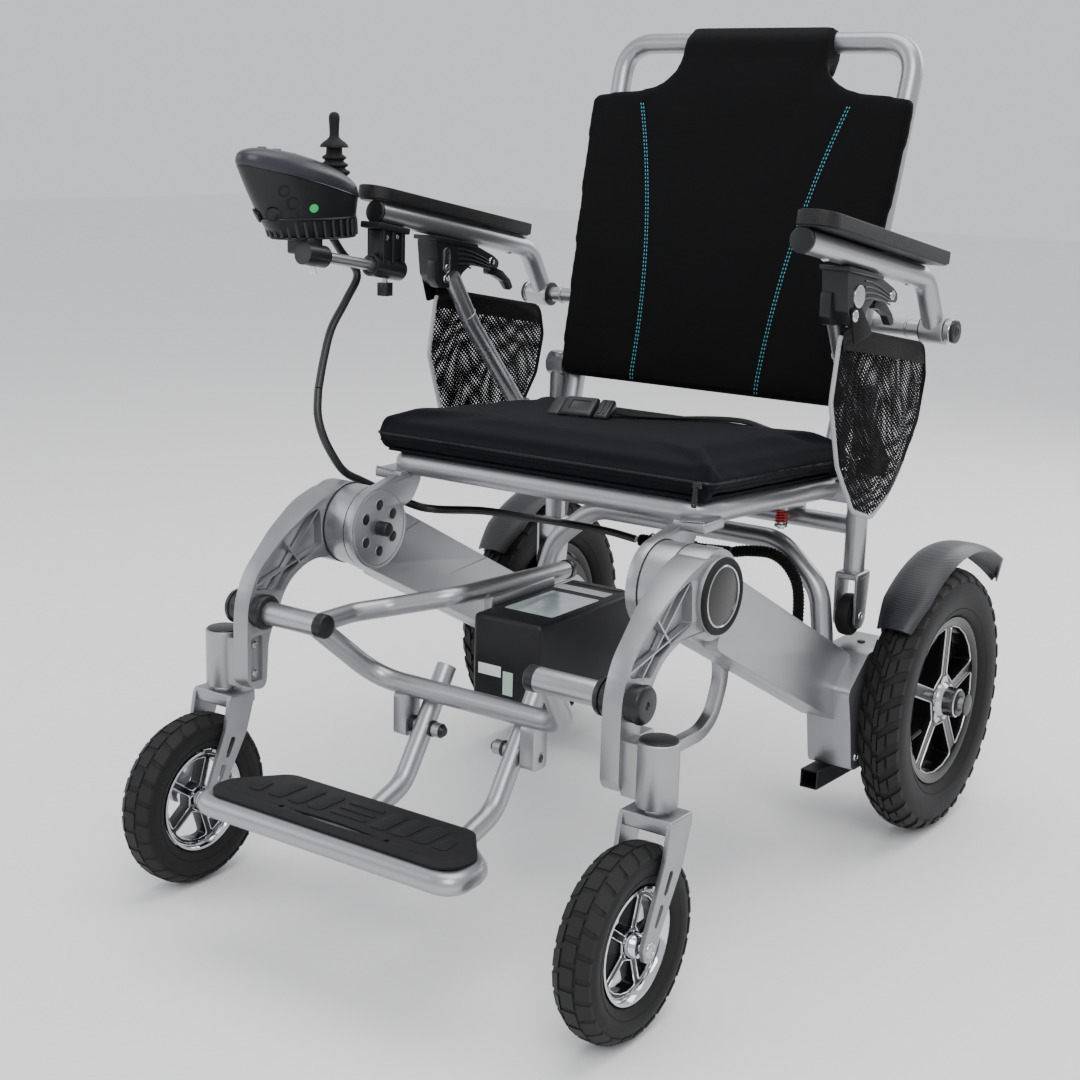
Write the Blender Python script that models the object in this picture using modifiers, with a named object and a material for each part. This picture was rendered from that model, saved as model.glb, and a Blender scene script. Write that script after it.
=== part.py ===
"""Folding power wheelchair: one named object for each piece, in metres, +Z up.

The floor is z = 0, +X is the chair's left, and the chair faces -Y.
Driving dimensions come first, then the modelling helpers, then one function per sub-part.
"""
import bpy
import bmesh
from math import atan2, cos, pi, radians, sin, tan
from mathutils import Matrix, Vector

# ---- driving dimensions (metres) -------------------------------------------------------------
GAP = 0.0004                 # clearance between touching pieces

REAR_RADIUS = 0.159          # 12.5 inch rear tyre
REAR_Y = 0.288
REAR_X = 0.2857
REAR_WIDTH = 0.050
REAR_RIM = 0.1015
AXLE_TIP = 0.331             # outer end of the rear axle caps: the widest point

CASTER_RADIUS = 0.094
CASTER_Y = -0.375
CASTER_WIDTH = 0.042
CASTER_RIM = 0.056
STEM_X = 0.278
STEM_Y = -0.3275

HUB = (-0.1885, 0.378)       # y, z of the folding hubs' axis
HUB_RADIUS = 0.0455
PIVOT = (-0.325, 0.303)      # y, z of the round pivot knobs on the front legs

SEAT_FRONT = (-0.130, 0.442) # y, z of the front seat bar
SEAT_PITCH = radians(-3.28)  # the rails fall towards the back
RAIL_X = 0.200
RAIL_RADIUS = 0.0125
UPRIGHT_X = 0.2125

BACK_PIVOT = (0.208, 0.520)  # y, z of the backrest hinge
BACK_TOP = (0.317, 0.920)
POST_X = 0.1845
ARM_X = 0.271
ARM_PIVOT = (0.249, 0.602)
ARM_FRONT = (-0.086, 0.716)
ARM_BEND = (0.212, 0.663)
STRUT_TOP = (0.030, 0.638)
STRUT_BEND = (0.066, 0.580)
STRUT_FOOT = (0.178, 0.455)
STRUT_X = 0.2495
STOP_PEG = (0.1587, 0.4512)  # y, z of the pegs that the tabs on the struts' feet rest against

FOOT_PIVOT = (-0.249, 0.190)
FOOT_TUBE_X = 0.060
CROSSBAR = (-0.250, 0.232)

CASE_X = -0.295
STICK_Y = -0.131
ROD_REAR = (-0.042, 0.647)
ROD_SLOPE = -0.1656          # rise for each metre towards the back
LOCK = (0.130, 0.176)        # x, y of the lock pin over the rear arch
CLUTCH = (0.235, 0.130)      # y, z of the brake levers' pivots
DATUM_Y = 0.010              # the outlines' datum is this far in front of the box's centre


# ---- helpers ---------------------------------------------------------------------------------
def material(name, color, roughness, metallic=0.0):
    """A Principled material, made once for each name."""
    found = bpy.data.materials.get(name)
    if found:
        return found
    made = bpy.data.materials.new(name)
    made.use_nodes = True
    shader = made.node_tree.nodes["Principled BSDF"]
    shader.inputs["Base Color"].default_value = (*color, 1.0)
    shader.inputs["Roughness"].default_value = roughness
    shader.inputs["Metallic"].default_value = metallic
    made.diffuse_color = (*color, 1.0)
    return made


def silver():
    return material("silver_paint", (0.62, 0.63, 0.65), 0.35, 0.85)


def black_plastic():
    return material("black_plastic", (0.02, 0.02, 0.022), 0.45)


def rubber():
    return material("rubber", (0.018, 0.018, 0.018), 0.75)


def fabric():
    return material("black_fabric", (0.012, 0.013, 0.018), 0.9)


def scene_object(name, mesh):
    made = bpy.data.objects.new(name, mesh)
    PARTS.objects.link(made)
    return made


def baked(name, source):
    """The evaluated shape of source as a clean closed mesh object in world space."""
    view = bpy.context.evaluated_depsgraph_get()
    view.update()
    mesh = bpy.data.meshes.new_from_object(source.evaluated_get(view), depsgraph=view)
    mesh.transform(source.matrix_world)
    work = bmesh.new()
    work.from_mesh(mesh)
    bmesh.ops.remove_doubles(work, verts=work.verts, dist=1e-5)
    bmesh.ops.dissolve_degenerate(work, edges=work.edges, dist=1e-6)
    bmesh.ops.recalc_face_normals(work, faces=work.faces)
    work.to_mesh(mesh)
    work.free()
    bpy.data.objects.remove(source)
    mesh.name = name
    return scene_object(name, mesh)


def finish(piece, name, look, origin=(0.0, 0.0, 0.0), smooth=35):
    """Give a piece its node name, material and shading, and put its origin on its joint."""
    origin = Vector(origin)
    piece.data.transform(Matrix.Translation(-origin))
    piece.location = origin + Vector((0, DATUM_Y, 0))
    piece.name = name
    piece.data.name = name
    piece.data.materials.clear()
    piece.data.materials.append(look)
    piece.data.shade_smooth()
    piece.data.set_sharp_from_angle(angle=radians(smooth))
    return piece


def rounded(points, radius, steps=4, closed=False):
    """A polyline whose corners are turned into short curves of about the radius."""
    corners = [Vector(p) for p in points]
    path = []
    last = len(corners) - 1
    for i, corner in enumerate(corners):
        if not closed and i in (0, last):
            path.append(corner)
            continue
        before = corners[i - 1] - corner
        after = corners[(i + 1) % len(corners)] - corner
        half = before.angle(after) / 2
        reach = min(radius / tan(half), before.length * 0.48, after.length * 0.48)
        start = corner + before.normalized() * reach
        end = corner + after.normalized() * reach
        for k in range(steps + 1):
            t = k / steps
            path.append(start * (1 - t) ** 2 + corner * 2 * t * (1 - t) + end * t ** 2)
    return path


def tube(points, radius, bend=0.03, steps=4, closed=False, sides=4):
    """A round bar along the points, as a closed mesh. It has 2 * sides + 4 faces round it."""
    data = bpy.data.curves.new("tube", "CURVE")
    data.dimensions = "3D"
    data.bevel_depth = radius
    data.bevel_resolution = sides
    data.use_fill_caps = True
    path = rounded(points, bend, steps, closed)
    spline = data.splines.new("POLY")
    spline.points.add(len(path) - 1)
    for point, place in zip(spline.points, path):
        point.co = (*place, 1.0)
    spline.use_cyclic_u = closed
    guide = bpy.data.objects.new("tube", data)
    PARTS.objects.link(guide)
    return baked("tube", guide)


def outline_solid(outlines, thickness):
    """A flat outline, with holes for the outlines after the first, centred on local z = 0."""
    data = bpy.data.curves.new("outline", "CURVE")
    data.dimensions = "2D"
    data.fill_mode = "BOTH"
    data.extrude = thickness / 2
    for outline in outlines:
        spline = data.splines.new("POLY")
        spline.points.add(len(outline) - 1)
        for point, (u, v) in zip(spline.points, outline):
            point.co = (u, v, 0.0, 1.0)
        spline.use_cyclic_u = True
    guide = bpy.data.objects.new("outline", data)
    PARTS.objects.link(guide)
    return guide


def side_plate(outlines, x_low, x_high):
    """Outlines drawn as (y, z), extruded from x_low to x_high."""
    x_low, x_high = min(x_low, x_high), max(x_low, x_high)
    guide = outline_solid(outlines, x_high - x_low)
    guide.location = ((x_low + x_high) / 2, 0, 0)
    guide.rotation_euler = (pi / 2, 0, pi / 2)
    return baked("plate", guide)


def floor_plate(outlines, z_low, z_high):
    """Outlines drawn as (x, y), extruded from z_low to z_high."""
    guide = outline_solid(outlines, z_high - z_low)
    guide.location = (0, 0, (z_low + z_high) / 2)
    return baked("plate", guide)


def mirrored(side, piece):
    """A piece modelled on the left, kept there (side 1) or moved to the right (side -1)."""
    piece.data.transform(Matrix.Scale(side, 4, (1, 0, 0)))
    return baked("mirrored", piece)


def circle(centre, radius, steps, start=0.0):
    return [(centre[0] + radius * cos(start + 2 * pi * k / steps),
             centre[1] + radius * sin(start + 2 * pi * k / steps)) for k in range(steps)]


def box(low, high, bevel=0.0, segments=2):
    """An upright box between two corners, with rounded edges."""
    bpy.ops.mesh.primitive_cube_add(size=1)
    made = bpy.context.object
    size = Vector(high) - Vector(low)
    made.data.transform(Matrix.Diagonal((*size, 1.0)))
    made.data.transform(Matrix.Translation((Vector(low) + Vector(high)) / 2))
    if bevel:
        edges = made.modifiers.new("bevel", "BEVEL")
        edges.width = bevel
        edges.segments = segments
    return baked("box", made)


def rod(start, end, radius, steps=16, radius_end=None):
    """A cylinder or a cone between two points."""
    start, end = Vector(start), Vector(end)
    bpy.ops.mesh.primitive_cone_add(
        vertices=steps, radius1=radius, radius2=radius if radius_end is None else radius_end,
        depth=(end - start).length, end_fill_type="NGON")
    made = bpy.context.object
    turn = (end - start).to_track_quat("Z", "Y").to_matrix().to_4x4()
    made.data.transform(Matrix.Translation((start + end) / 2) @ turn)
    return baked("rod", made)


def turned(profile, steps, closed=False):
    """A profile of (radius, height) points turned about local Z."""
    mesh = bpy.data.meshes.new("turned")
    verts = [(r, 0.0, h) for r, h in profile]
    edges = [(i, i + 1) for i in range(len(verts) - 1)]
    if closed:
        edges.append((len(verts) - 1, 0))
    mesh.from_pydata(verts, edges, [])
    made = scene_object("turned", mesh)
    screw = made.modifiers.new("screw", "SCREW")
    screw.steps = screw.render_steps = steps
    screw.use_merge_vertices = True
    screw.merge_threshold = 1e-5
    return made


def wheel_part(profile, steps, centre, closed=True):
    """A turned shape whose axle lies along X through the centre."""
    made = turned(profile, steps, closed)
    made.matrix_world = Matrix.Translation(centre) @ Matrix.Rotation(pi / 2, 4, "Y")
    return baked("wheel", made)


def combine(base, others, operation="UNION"):
    """Join the other solids to base, or cut them from it, and remove them."""
    for other in others:
        change = base.modifiers.new("boolean", "BOOLEAN")
        change.operation = operation
        change.object = other
        change.solver = "EXACT"
    made = baked("solid", base)
    for other in others:
        bpy.data.objects.remove(other)
    return made


def tilted(piece, angle, centre):
    """Turn a piece about an X axis through centre, given as (y, z)."""
    place = Vector((0, *centre))
    piece.data.transform(Matrix.Translation(place) @ Matrix.Rotation(angle, 4, "X")
                         @ Matrix.Translation(-place))
    return piece


# ---- seat frame ------------------------------------------------------------------------------
def seat_rail():
    """The seat loop with its two hub plates, the flat hanging bar and the backrest stops."""
    y, z = SEAT_FRONT
    y_rear = 0.186
    z_rear = z + (y_rear - y) * tan(SEAT_PITCH)
    loop = tube([(-RAIL_X, y_rear, z_rear), (-RAIL_X, y, z), (RAIL_X, y, z),
                 (RAIL_X, y_rear, z_rear)], RAIL_RADIUS, bend=0.032)
    pieces = []
    for side in (1, -1):
        neck_top, neck_front, neck_rear = 0.432, HUB[0] + 0.022, HUB[0] + 0.096
        disc = [(HUB[0] + HUB_RADIUS * cos(radians(a)), HUB[1] + HUB_RADIUS * sin(radians(a)))
                for a in range(100, 391, 18)]
        neck = [(HUB[0] + 0.052, 0.402), (neck_rear, neck_top), (neck_front, neck_top)]
        hub_plate = side_plate([disc + neck], side * 0.1760, side * 0.1885)
        shelf = mirrored(side, box((0.1770, neck_front + 0.003, 0.4256),
                                   (0.2145, neck_rear - 0.007, 0.4364)))
        pieces += [combine(hub_plate, [shelf]),
                   mirrored(side, box((0.1900, 0.1480, 0.4100), (0.2345, 0.1915, 0.4350))),
                   mirrored(side, box((0.2236, 0.1480, 0.4300), (0.2345, 0.1720, 0.4620))),
                   rod((side * 0.230, *STOP_PEG), (side * 0.2385, *STOP_PEG), 0.0060, 12)]
    hanging = [(-0.168, 0.345), (-0.065, 0.318), (-0.045, 0.290), (-0.036, 0.245), (-0.056, 0.202),
               (-0.085, 0.187), (-0.155, 0.187), (-0.155, 0.200), (-0.088, 0.200), (-0.068, 0.212),
               (-0.054, 0.246), (-0.062, 0.282), (-0.080, 0.302), (-0.168, 0.325)]
    pieces.append(side_plate([hanging], 0.1765, 0.1880))
    finish(combine(loop, pieces), "seat_rail", silver())


def rear_upright_frame():
    """Two uprights with their cross tube, the trolley forks and the lock's bracket."""
    legs = [tube([(side * UPRIGHT_X, BACK_PIVOT[0], 0.535), (side * UPRIGHT_X, 0.2050, 0.430),
                  (side * UPRIGHT_X, 0.2050, 0.3150)], RAIL_RADIUS, bend=0.2) for side in (1, -1)]
    pieces = [rod((-UPRIGHT_X, 0.208, 0.372), (UPRIGHT_X, 0.208, 0.372), 0.0110, 12)]
    for side in (1, -1):
        x = side * UPRIGHT_X
        pieces.append(rod((side * 0.2002, *BACK_PIVOT), (side * 0.2255, *BACK_PIVOT), 0.0160, 16))
        pieces.append(box((x - 0.0145, 0.186, 0.3120), (x + 0.0145, 0.220, 0.3200)))
        for face in (-1, 1):
            inner = x + face * 0.0110
            cheek = [(0.187, 0.318), (0.219, 0.318), (0.2120, 0.262), (0.205, 0.2560),
                     (0.195, 0.2560), (0.188, 0.262)]
            pieces.append(side_plate([cheek], inner, inner + face * 0.0030))
    x, y = LOCK
    plate = floor_plate([[(x - 0.015, y - 0.016), (x + 0.015, y - 0.016), (x + 0.015, 0.212),
                          (x - 0.015, 0.212)], circle(LOCK, 0.0046, 12)], 0.388, 0.393)
    web = box((x - 0.014, 0.204, 0.374), (x + 0.014, 0.211, 0.390))
    finish(combine(legs[0], [legs[1]] + pieces + [plate, web]), "rear_upright_frame", silver())


def trolley_wheel(side):
    """Small wheel under the seat's rear corner, with its own short axle."""
    profile = [(0.0, 0.0105), (0.0060, 0.0105), (0.0060, 0.0085), (0.0215, 0.0085), (0.0250, 0.0050),
               (0.0250, -0.0050), (0.0215, -0.0085), (0.0060, -0.0085), (0.0060, -0.0105), (0.0, -0.0105)]
    centre = (side * UPRIGHT_X, 0.200, 0.268)
    finish(wheel_part(profile, 20, centre, closed=False), "trolley_wheel_" + SIDES[side], rubber(),
           centre)


def seat_soft():
    """The sling panel, the cushion, the lap belt and its buckle, all parallel to the rails."""
    y, z = SEAT_FRONT
    panel = box((-0.205, y - 0.010, z + 0.0130), (0.205, y + 0.318, z + 0.0158))
    finish(tilted(panel, SEAT_PITCH, SEAT_FRONT), "seat_panel", fabric())
    cushion = box((-0.2215, y - 0.025, z + 0.0163), (0.2215, y + 0.300, z + 0.0580), 0.014, 3)
    finish(tilted(cushion, SEAT_PITCH, SEAT_FRONT), "seat_cushion", fabric())
    strap_low = z + 0.0584
    strap = floor_plate([[(-0.160, y + 0.287), (-0.060, y + 0.131), (-0.020, y + 0.131),
                          (0.175, y + 0.283), (0.158, y + 0.300), (-0.038, y + 0.155),
                          (-0.136, y + 0.297)]], strap_low, strap_low + 0.0022)
    finish(tilted(strap, SEAT_PITCH, SEAT_FRONT), "lap_belt", fabric())
    buckle = box((-0.070, y + 0.114, strap_low + 0.0026), (-0.010, y + 0.156, strap_low + 0.0146),
                 0.003)
    finish(tilted(buckle, SEAT_PITCH, SEAT_FRONT), "belt_buckle", black_plastic())


def fold_lock():
    """The pin that drops onto the rear arch, and the red spring round it."""
    x, y = LOCK
    pin = rod((x, y, 0.3620), (x, y, 0.4120), 0.0040, 12)
    collar = rod((x, y, 0.3645), (x, y, 0.3675), 0.0080, 12)
    knob = rod((x, y, 0.4040), (x, y, 0.4120), 0.0070, 12)
    finish(combine(pin, [collar, knob]), "lock_pin", material("zinc", (0.6, 0.6, 0.6), 0.3, 1.0),
           (x, y, 0.388))
    coil = turned([(0.0085, 0.3876), (0.0085, 0.3679), (0.0055, 0.3679), (0.0055, 0.3876)], 16, True)
    coil.location = (x, y, 0)
    bpy.context.view_layer.update()
    finish(baked("coil", coil), "lock_spring", material("red_spring", (0.5, 0.02, 0.02), 0.4, 0.3),
           (x, y, 0.388))


# ---- front frame -----------------------------------------------------------------------------
def front_leg(side):
    """Cast arm from the folding hub to the caster housing, with its round pivot knobs."""
    arm = [(-0.200, 0.4220), (-0.245, 0.4080), (-0.290, 0.3800), (-0.330, 0.3440),
           (-0.3430, 0.3120), (-0.3445, 0.2850), (-0.3445, 0.2200), (-0.316, 0.2130),
           (-0.312, 0.2700), (-0.300, 0.2920), (-0.282, 0.3310), (-0.243, 0.3510),
           (-0.200, 0.3340), (-0.170, 0.3600), (-0.170, 0.4000)]
    leg = side_plate([arm], side * 0.2256, side * 0.2466)
    pieces = [rod((side * 0.2188, *HUB), (side * 0.2520, *HUB), HUB_RADIUS, 32),
              rod((side * 0.2515, *HUB), (side * 0.2565, *HUB), 0.0380, 32),
              rod((side * 0.2450, *PIVOT), (side * 0.2620, *PIVOT), 0.0185, 20),
              rod((side * 0.2110, *PIVOT), (side * 0.2270, *PIVOT), 0.0185, 20),
              rod((side * STEM_X, STEM_Y, 0.2120), (side * STEM_X, STEM_Y, 0.2750), 0.0200, 20),
              mirrored(side, box((0.2450, STEM_Y - 0.0125, 0.2160), (0.2680, STEM_Y + 0.0120, 0.2700)))]
    if side == 1:
        pieces.append(box((0.2065, -0.330, 0.2380), (0.2270, -0.252, 0.2540)))
    finish(combine(leg, pieces), "front_leg_" + SIDES[side], silver(), (0, *HUB))


def front_crossbar():
    """Pivot stubs, the dropped cross tube, the battery rail and the footrest lugs."""
    y, z = CROSSBAR
    tip = (PIVOT[0] + 0.003, PIVOT[1] - 0.002)
    drop = tube([(-0.150, *tip), (-0.124, y, z), (0.124, y, z), (0.150, *tip)], 0.0115, bend=0.045)
    pieces = [rod((side * 0.137, *PIVOT), (side * 0.2105, *PIVOT), 0.0125, 12) for side in (1, -1)]
    pieces += [tube([(-0.147, -0.318, 0.303), (-0.147, -0.265, 0.303), (-0.124, -0.229, 0.306),
                     (-0.060, -0.199, 0.323), (-0.060, 0.012, 0.312)], 0.0105, bend=0.035, steps=3),
               box((-0.0600, -0.150, 0.2950), (-0.0465, -0.030, 0.3140))]
    for side in (1, -1):
        lug = [(-0.2620, 0.2250), (-0.2380, 0.2250), (-0.2380, 0.1840), (-0.2440, 0.1780),
               (-0.2560, 0.1780), (-0.2620, 0.1840)]
        pieces.append(side_plate([lug], side * 0.0750, side * 0.0920))
    finish(combine(drop, pieces), "front_crossbar", silver(), (0, *HUB))


def battery():
    pack = box((-0.045, -0.187, 0.212), (0.045, 0.003, 0.3060), 0.007, 2)
    finish(pack, "battery_pack", black_plastic(), (0, -0.187, 0.259))


# ---- casters ---------------------------------------------------------------------------------
def caster_fork(side):
    """Crown, two slanting legs and the axle, turning under the caster housing."""
    x = side * STEM_X
    crown = box((x - 0.0285, STEM_Y - 0.0200, 0.1920), (x + 0.0285, STEM_Y + 0.0200, 0.2070), 0.003)
    pieces = [rod((x, STEM_Y, 0.200), (x, STEM_Y, 0.2115), 0.0100, 16)]
    leg = [(STEM_Y - 0.0195, 0.2000), (STEM_Y - 0.0270, 0.1700), (CASTER_Y - 0.0125, 0.0980),
           (CASTER_Y - 0.0090, 0.0850), (CASTER_Y, 0.0815), (CASTER_Y + 0.0090, 0.0850),
           (CASTER_Y + 0.0140, 0.1000), (STEM_Y + 0.0050, 0.1620), (STEM_Y + 0.0195, 0.2000)]
    for face in (-1, 1):
        pieces.append(side_plate([leg], x + face * 0.0235, x + face * 0.0284))
    pieces.append(rod((x - 0.0310, CASTER_Y, CASTER_RADIUS), (x + 0.0310, CASTER_Y, CASTER_RADIUS),
                      0.0050, 12))
    finish(combine(crown, pieces), "caster_fork_" + SIDES[side], silver(), (x, STEM_Y, 0.200))


def tyre(name, centre, radius, inner, width, steps):
    """A pneumatic tyre: a turned ring with a round crown and straight flanks."""
    half = width / 2
    shoulder = radius - half * 0.62
    middle = (inner + shoulder) / 2
    profile = [(inner, -half * 0.62), (inner, half * 0.62), (inner + 0.006, half * 0.86),
               (middle, half), (shoulder, half * 0.93), (radius - half * 0.18, half * 0.60),
               (radius, half * 0.18), (radius, -half * 0.18), (radius - half * 0.18, -half * 0.60),
               (shoulder, -half * 0.93), (middle, -half), (inner + 0.006, -half * 0.86)]
    finish(wheel_part(profile, steps, centre), name, rubber(), centre, smooth=60)


def wheel_window(centre, index, inner, outer, gap):
    """The opening between two of the five spokes, as (y, z) points."""
    middle = 2 * pi * (index + 0.5) / 5
    points = []
    for radius, sign in ((outer, -1), (outer, 0), (outer, 1), (inner, 1), (inner, -1)):
        half = pi / 5 - gap / radius
        angle = middle + sign * half
        points.append((centre[0] + radius * cos(angle), centre[1] + radius * sin(angle)))
    return points


def caster_wheel(side):
    """Five-spoke rim and tyre, free to turn on the fork's axle."""
    x, centre = side * STEM_X, (CASTER_Y, CASTER_RADIUS)
    outlines = [circle(centre, CASTER_RIM - GAP, 30), circle(centre, 0.0056, 12)]
    outlines += [wheel_window(centre, k, 0.016, 0.046, 0.0045) for k in range(5)]
    rim = side_plate(outlines, x - 0.0120, x + 0.0120)
    hub = wheel_part([(0.0058, 0.0175), (0.0120, 0.0175), (0.0120, -0.0175), (0.0058, -0.0175)], 16,
                     (x, *centre))
    finish(combine(rim, [hub]), "caster_rim_" + SIDES[side],
           material("chrome", (0.8, 0.8, 0.8), 0.15, 1.0), (x, *centre))
    tyre("caster_tyre_" + SIDES[side], (x, *centre), CASTER_RADIUS, CASTER_RIM, CASTER_WIDTH, 32)


# ---- footrest --------------------------------------------------------------------------------
def foot_outline(grow=0.0):
    """The plate in plan: a long front edge, and rear corners that slant inwards."""
    front, rear = -0.481, -0.397
    return [(-0.132 - grow, front - grow), (0.132 + grow, front - grow), (0.150 + grow, front + 0.012),
            (0.149 + grow, front + 0.034), (0.128 + grow, front + 0.050 + grow), (0.100, rear + grow),
            (-0.100, rear + grow), (-0.128 - grow, front + 0.050 + grow), (-0.149 - grow, front + 0.034),
            (-0.150 - grow, front + 0.012)]


def footrest():
    """Two bent tubes that carry the rimmed plate, and the rubber mat on it."""
    stalks = []
    for side in (1, -1):
        x = side * FOOT_TUBE_X
        stalks.append(tube([(x, -0.212, 0.248), (x, *FOOT_PIVOT), (x, -0.285, 0.135), (x, -0.335, 0.119),
                            (x, -0.440, 0.141)], 0.0110, bend=0.045, steps=3))
        stalks.append(rod((side * 0.0360, *FOOT_PIVOT), (side * 0.0745, *FOOT_PIVOT), 0.0080, 12))
    plate = floor_plate([foot_outline(0.002)], 0.1450, 0.1570)
    rim = tube([(-0.160, -0.479, 0.150), (0.160, -0.479, 0.150), (0.157, -0.436, 0.150),
                (0.106, -0.397, 0.150), (-0.106, -0.397, 0.150), (-0.157, -0.436, 0.150)],
               0.0110, bend=0.024, steps=3, closed=True)
    finish(combine(plate, [rim] + stalks), "footrest_frame", silver(), (0, *FOOT_PIVOT))
    mat = floor_plate([foot_outline()], 0.1574, 0.1630)
    rim_groove = tube([(-0.160, -0.479, 0.150), (0.160, -0.479, 0.150), (0.157, -0.436, 0.150),
                       (0.106, -0.397, 0.150), (-0.106, -0.397, 0.150), (-0.157, -0.436, 0.150)],
                      0.0110 + GAP, bend=0.024, steps=3, closed=True)
    finish(combine(mat, [rim_groove], "DIFFERENCE"), "foot_mat", rubber(), (0, *FOOT_PIVOT))


# ---- rear frame ------------------------------------------------------------------------------
def rear_leg(side):
    """Hub drum, box-section beam, motor bracket, motor and the wheel's axle."""
    axle = (REAR_Y, REAR_RADIUS)
    beam = side_plate([[(-0.188, 0.4150), (-0.100, 0.3700), (0.029, 0.3020), (0.167, 0.2300),
                        (0.141, 0.1560), (0.041, 0.2090), (-0.112, 0.2890), (-0.205, 0.3380)]],
                      side * 0.1895, side * 0.2180)
    outer = side_plate([[(-0.122, 0.3820), (-0.100, 0.3700), (0.029, 0.3020), (0.167, 0.2300),
                         (0.141, 0.1560), (0.041, 0.2090), (-0.112, 0.2890), (-0.152, 0.3110),
                         (-0.139, 0.3450)]], side * 0.2170, side * 0.2350)
    bracket = side_plate([[(0.120, 0.2000), (0.167, 0.2360), (0.245, 0.2360), (0.300, 0.1950),
                           (0.316, 0.1590), (0.300, 0.1250), (0.270, 0.0972), (0.140, 0.1008),
                           (0.130, 0.1600)]], side * 0.2005, side * 0.2555)
    pieces = [outer, bracket, rod((side * 0.1892, *HUB), (side * 0.2182, *HUB), 0.0445, 32),
              rod((side * 0.1100, *axle), (side * 0.2050, *axle), 0.0380, 20),
              rod((side * 0.2500, *axle), (side * 0.3290, *axle), 0.0080, 16),
              rod((side * 0.3215, *axle), (side * AXLE_TIP, *axle), 0.0130, 16)]
    finish(combine(beam, pieces), "rear_leg_" + SIDES[side], silver(), (0, *HUB))


def rear_arch():
    """Bent tube that joins the rear legs and rises to the fold lock."""
    arch = tube([(-0.202, 0.157, 0.225), (-0.199, 0.162, 0.244), (-0.187, 0.171, 0.300),
                 (-0.130, 0.176, 0.348), (0.130, 0.176, 0.348), (0.187, 0.171, 0.300),
                 (0.199, 0.162, 0.244), (0.202, 0.157, 0.225)], 0.0125, bend=0.045)
    seats = [side_plate([[(0.050, 0.2916), (0.1545, 0.2370), (0.200, 0.2370), (0.200, 0.150),
                          (0.050, 0.150)]], side * 0.150, side * 0.250) for side in (1, -1)]
    finish(combine(arch, seats, "DIFFERENCE"), "rear_arch", silver(), (0, *HUB))


def anti_tip_tube(side):
    """Black square tube under the motor bracket, open at its front end."""
    x = side * 0.215
    front, rear = (0.115, 0.0890), (0.400, 0.0800)
    outer = box((x - 0.0110, front[0], front[1] - 0.0110), (x + 0.0110, rear[0], front[1] + 0.0110))
    hollow = box((x - 0.0090, front[0] - 0.010, front[1] - 0.0090),
                 (x + 0.0090, front[0] + 0.040, front[1] + 0.0090))
    bar = combine(outer, [hollow], "DIFFERENCE")
    finish(tilted(bar, atan2(rear[1] - front[1], rear[0] - front[0]), front),
           "anti_tip_tube_" + SIDES[side], black_plastic(), (0, *HUB))


def fender(side):
    """Curved guard over the rear wheel, on a flat stay."""
    centre, radius, thickness = (0.3155, 0.1376), 0.2047, 0.0030
    angles = [radians(139 - k * 98 / 16) for k in range(17)]
    outer = [(centre[0] + radius * cos(a), centre[1] + radius * sin(a)) for a in angles]
    inner = [(centre[0] + (radius - thickness) * cos(a), centre[1] + (radius - thickness) * sin(a))
             for a in reversed(angles)]
    shell = side_plate([outer + inner], side * 0.2562, side * 0.3140)
    stay = side_plate([[(0.225, 0.2000), (0.275, 0.2060), (0.306, 0.3400), (0.275, 0.3370)]],
                      side * 0.2562, side * 0.2592)
    finish(combine(shell, [stay]), "fender_" + SIDES[side],
           material("carbon", (0.03, 0.032, 0.036), 0.4), (0, *HUB))


def clutch_lever(side):
    """Small lever that frees the motor's brake, pivoted on the bracket's inner face."""
    y, z = CLUTCH
    round_end = [(y + 0.010 * cos(radians(a)), z + 0.010 * sin(radians(a))) for a in range(-90, 91, 30)]
    arm = side_plate([round_end + [(y - 0.068, z - 0.004), (y - 0.072, z - 0.012), (y - 0.068, z - 0.018)]],
                     side * 0.1945, side * 0.1985)
    finish(arm, "clutch_lever_" + SIDES[side], material("zinc", (0.6, 0.6, 0.6), 0.3, 1.0), (0, *CLUTCH))


def rear_wheel(side):
    """Five-spoke rim and its tyre, turning on the rear leg's axle."""
    x, centre = side * REAR_X, (REAR_Y, REAR_RADIUS)
    outlines = [circle(centre, REAR_RIM - GAP, 40), circle(centre, 0.0086, 16)]
    outlines += [wheel_window(centre, k, 0.032, 0.086, 0.0095) for k in range(5)]
    rim = side_plate(outlines, x - 0.0170, x + 0.0170)
    hub = wheel_part([(0.0088, side * 0.0348), (0.0230, side * 0.0348), (0.0300, side * 0.0150),
                      (0.0300, side * -0.0200), (0.0088, side * -0.0230)], 20, (x, *centre))
    finish(combine(rim, [hub]), "rear_rim_" + SIDES[side], material("alloy", (0.3, 0.3, 0.31), 0.3, 0.9),
           (x, *centre))
    tyre("rear_tyre_" + SIDES[side], (x, *centre), REAR_RADIUS, REAR_RIM, REAR_WIDTH, 40)


# ---- backrest --------------------------------------------------------------------------------
def back_frame():
    """Bent top bar with its two posts, and the cross tube that carries the arms."""
    foot = (BACK_PIVOT[0] - 0.018, BACK_PIVOT[1] - 0.065)
    posts = tube([(-POST_X, *foot), (-0.198, *BACK_TOP), (0.198, *BACK_TOP), (POST_X, *foot)],
                 RAIL_RADIUS, bend=0.042)
    pieces = [rod((-0.2905, *ARM_PIVOT), (0.2905, *ARM_PIVOT), 0.0095, 12)]
    for side in (1, -1):
        pieces += [rod((side * 0.2865, *ARM_PIVOT), (side * 0.2945, *ARM_PIVOT), 0.0125, 16),
                   rod((side * 0.1740, *BACK_PIVOT), (side * 0.1985, *BACK_PIVOT), 0.0129, 16)]
    finish(combine(posts, pieces), "back_frame", silver(), (0, *BACK_PIVOT))


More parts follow.
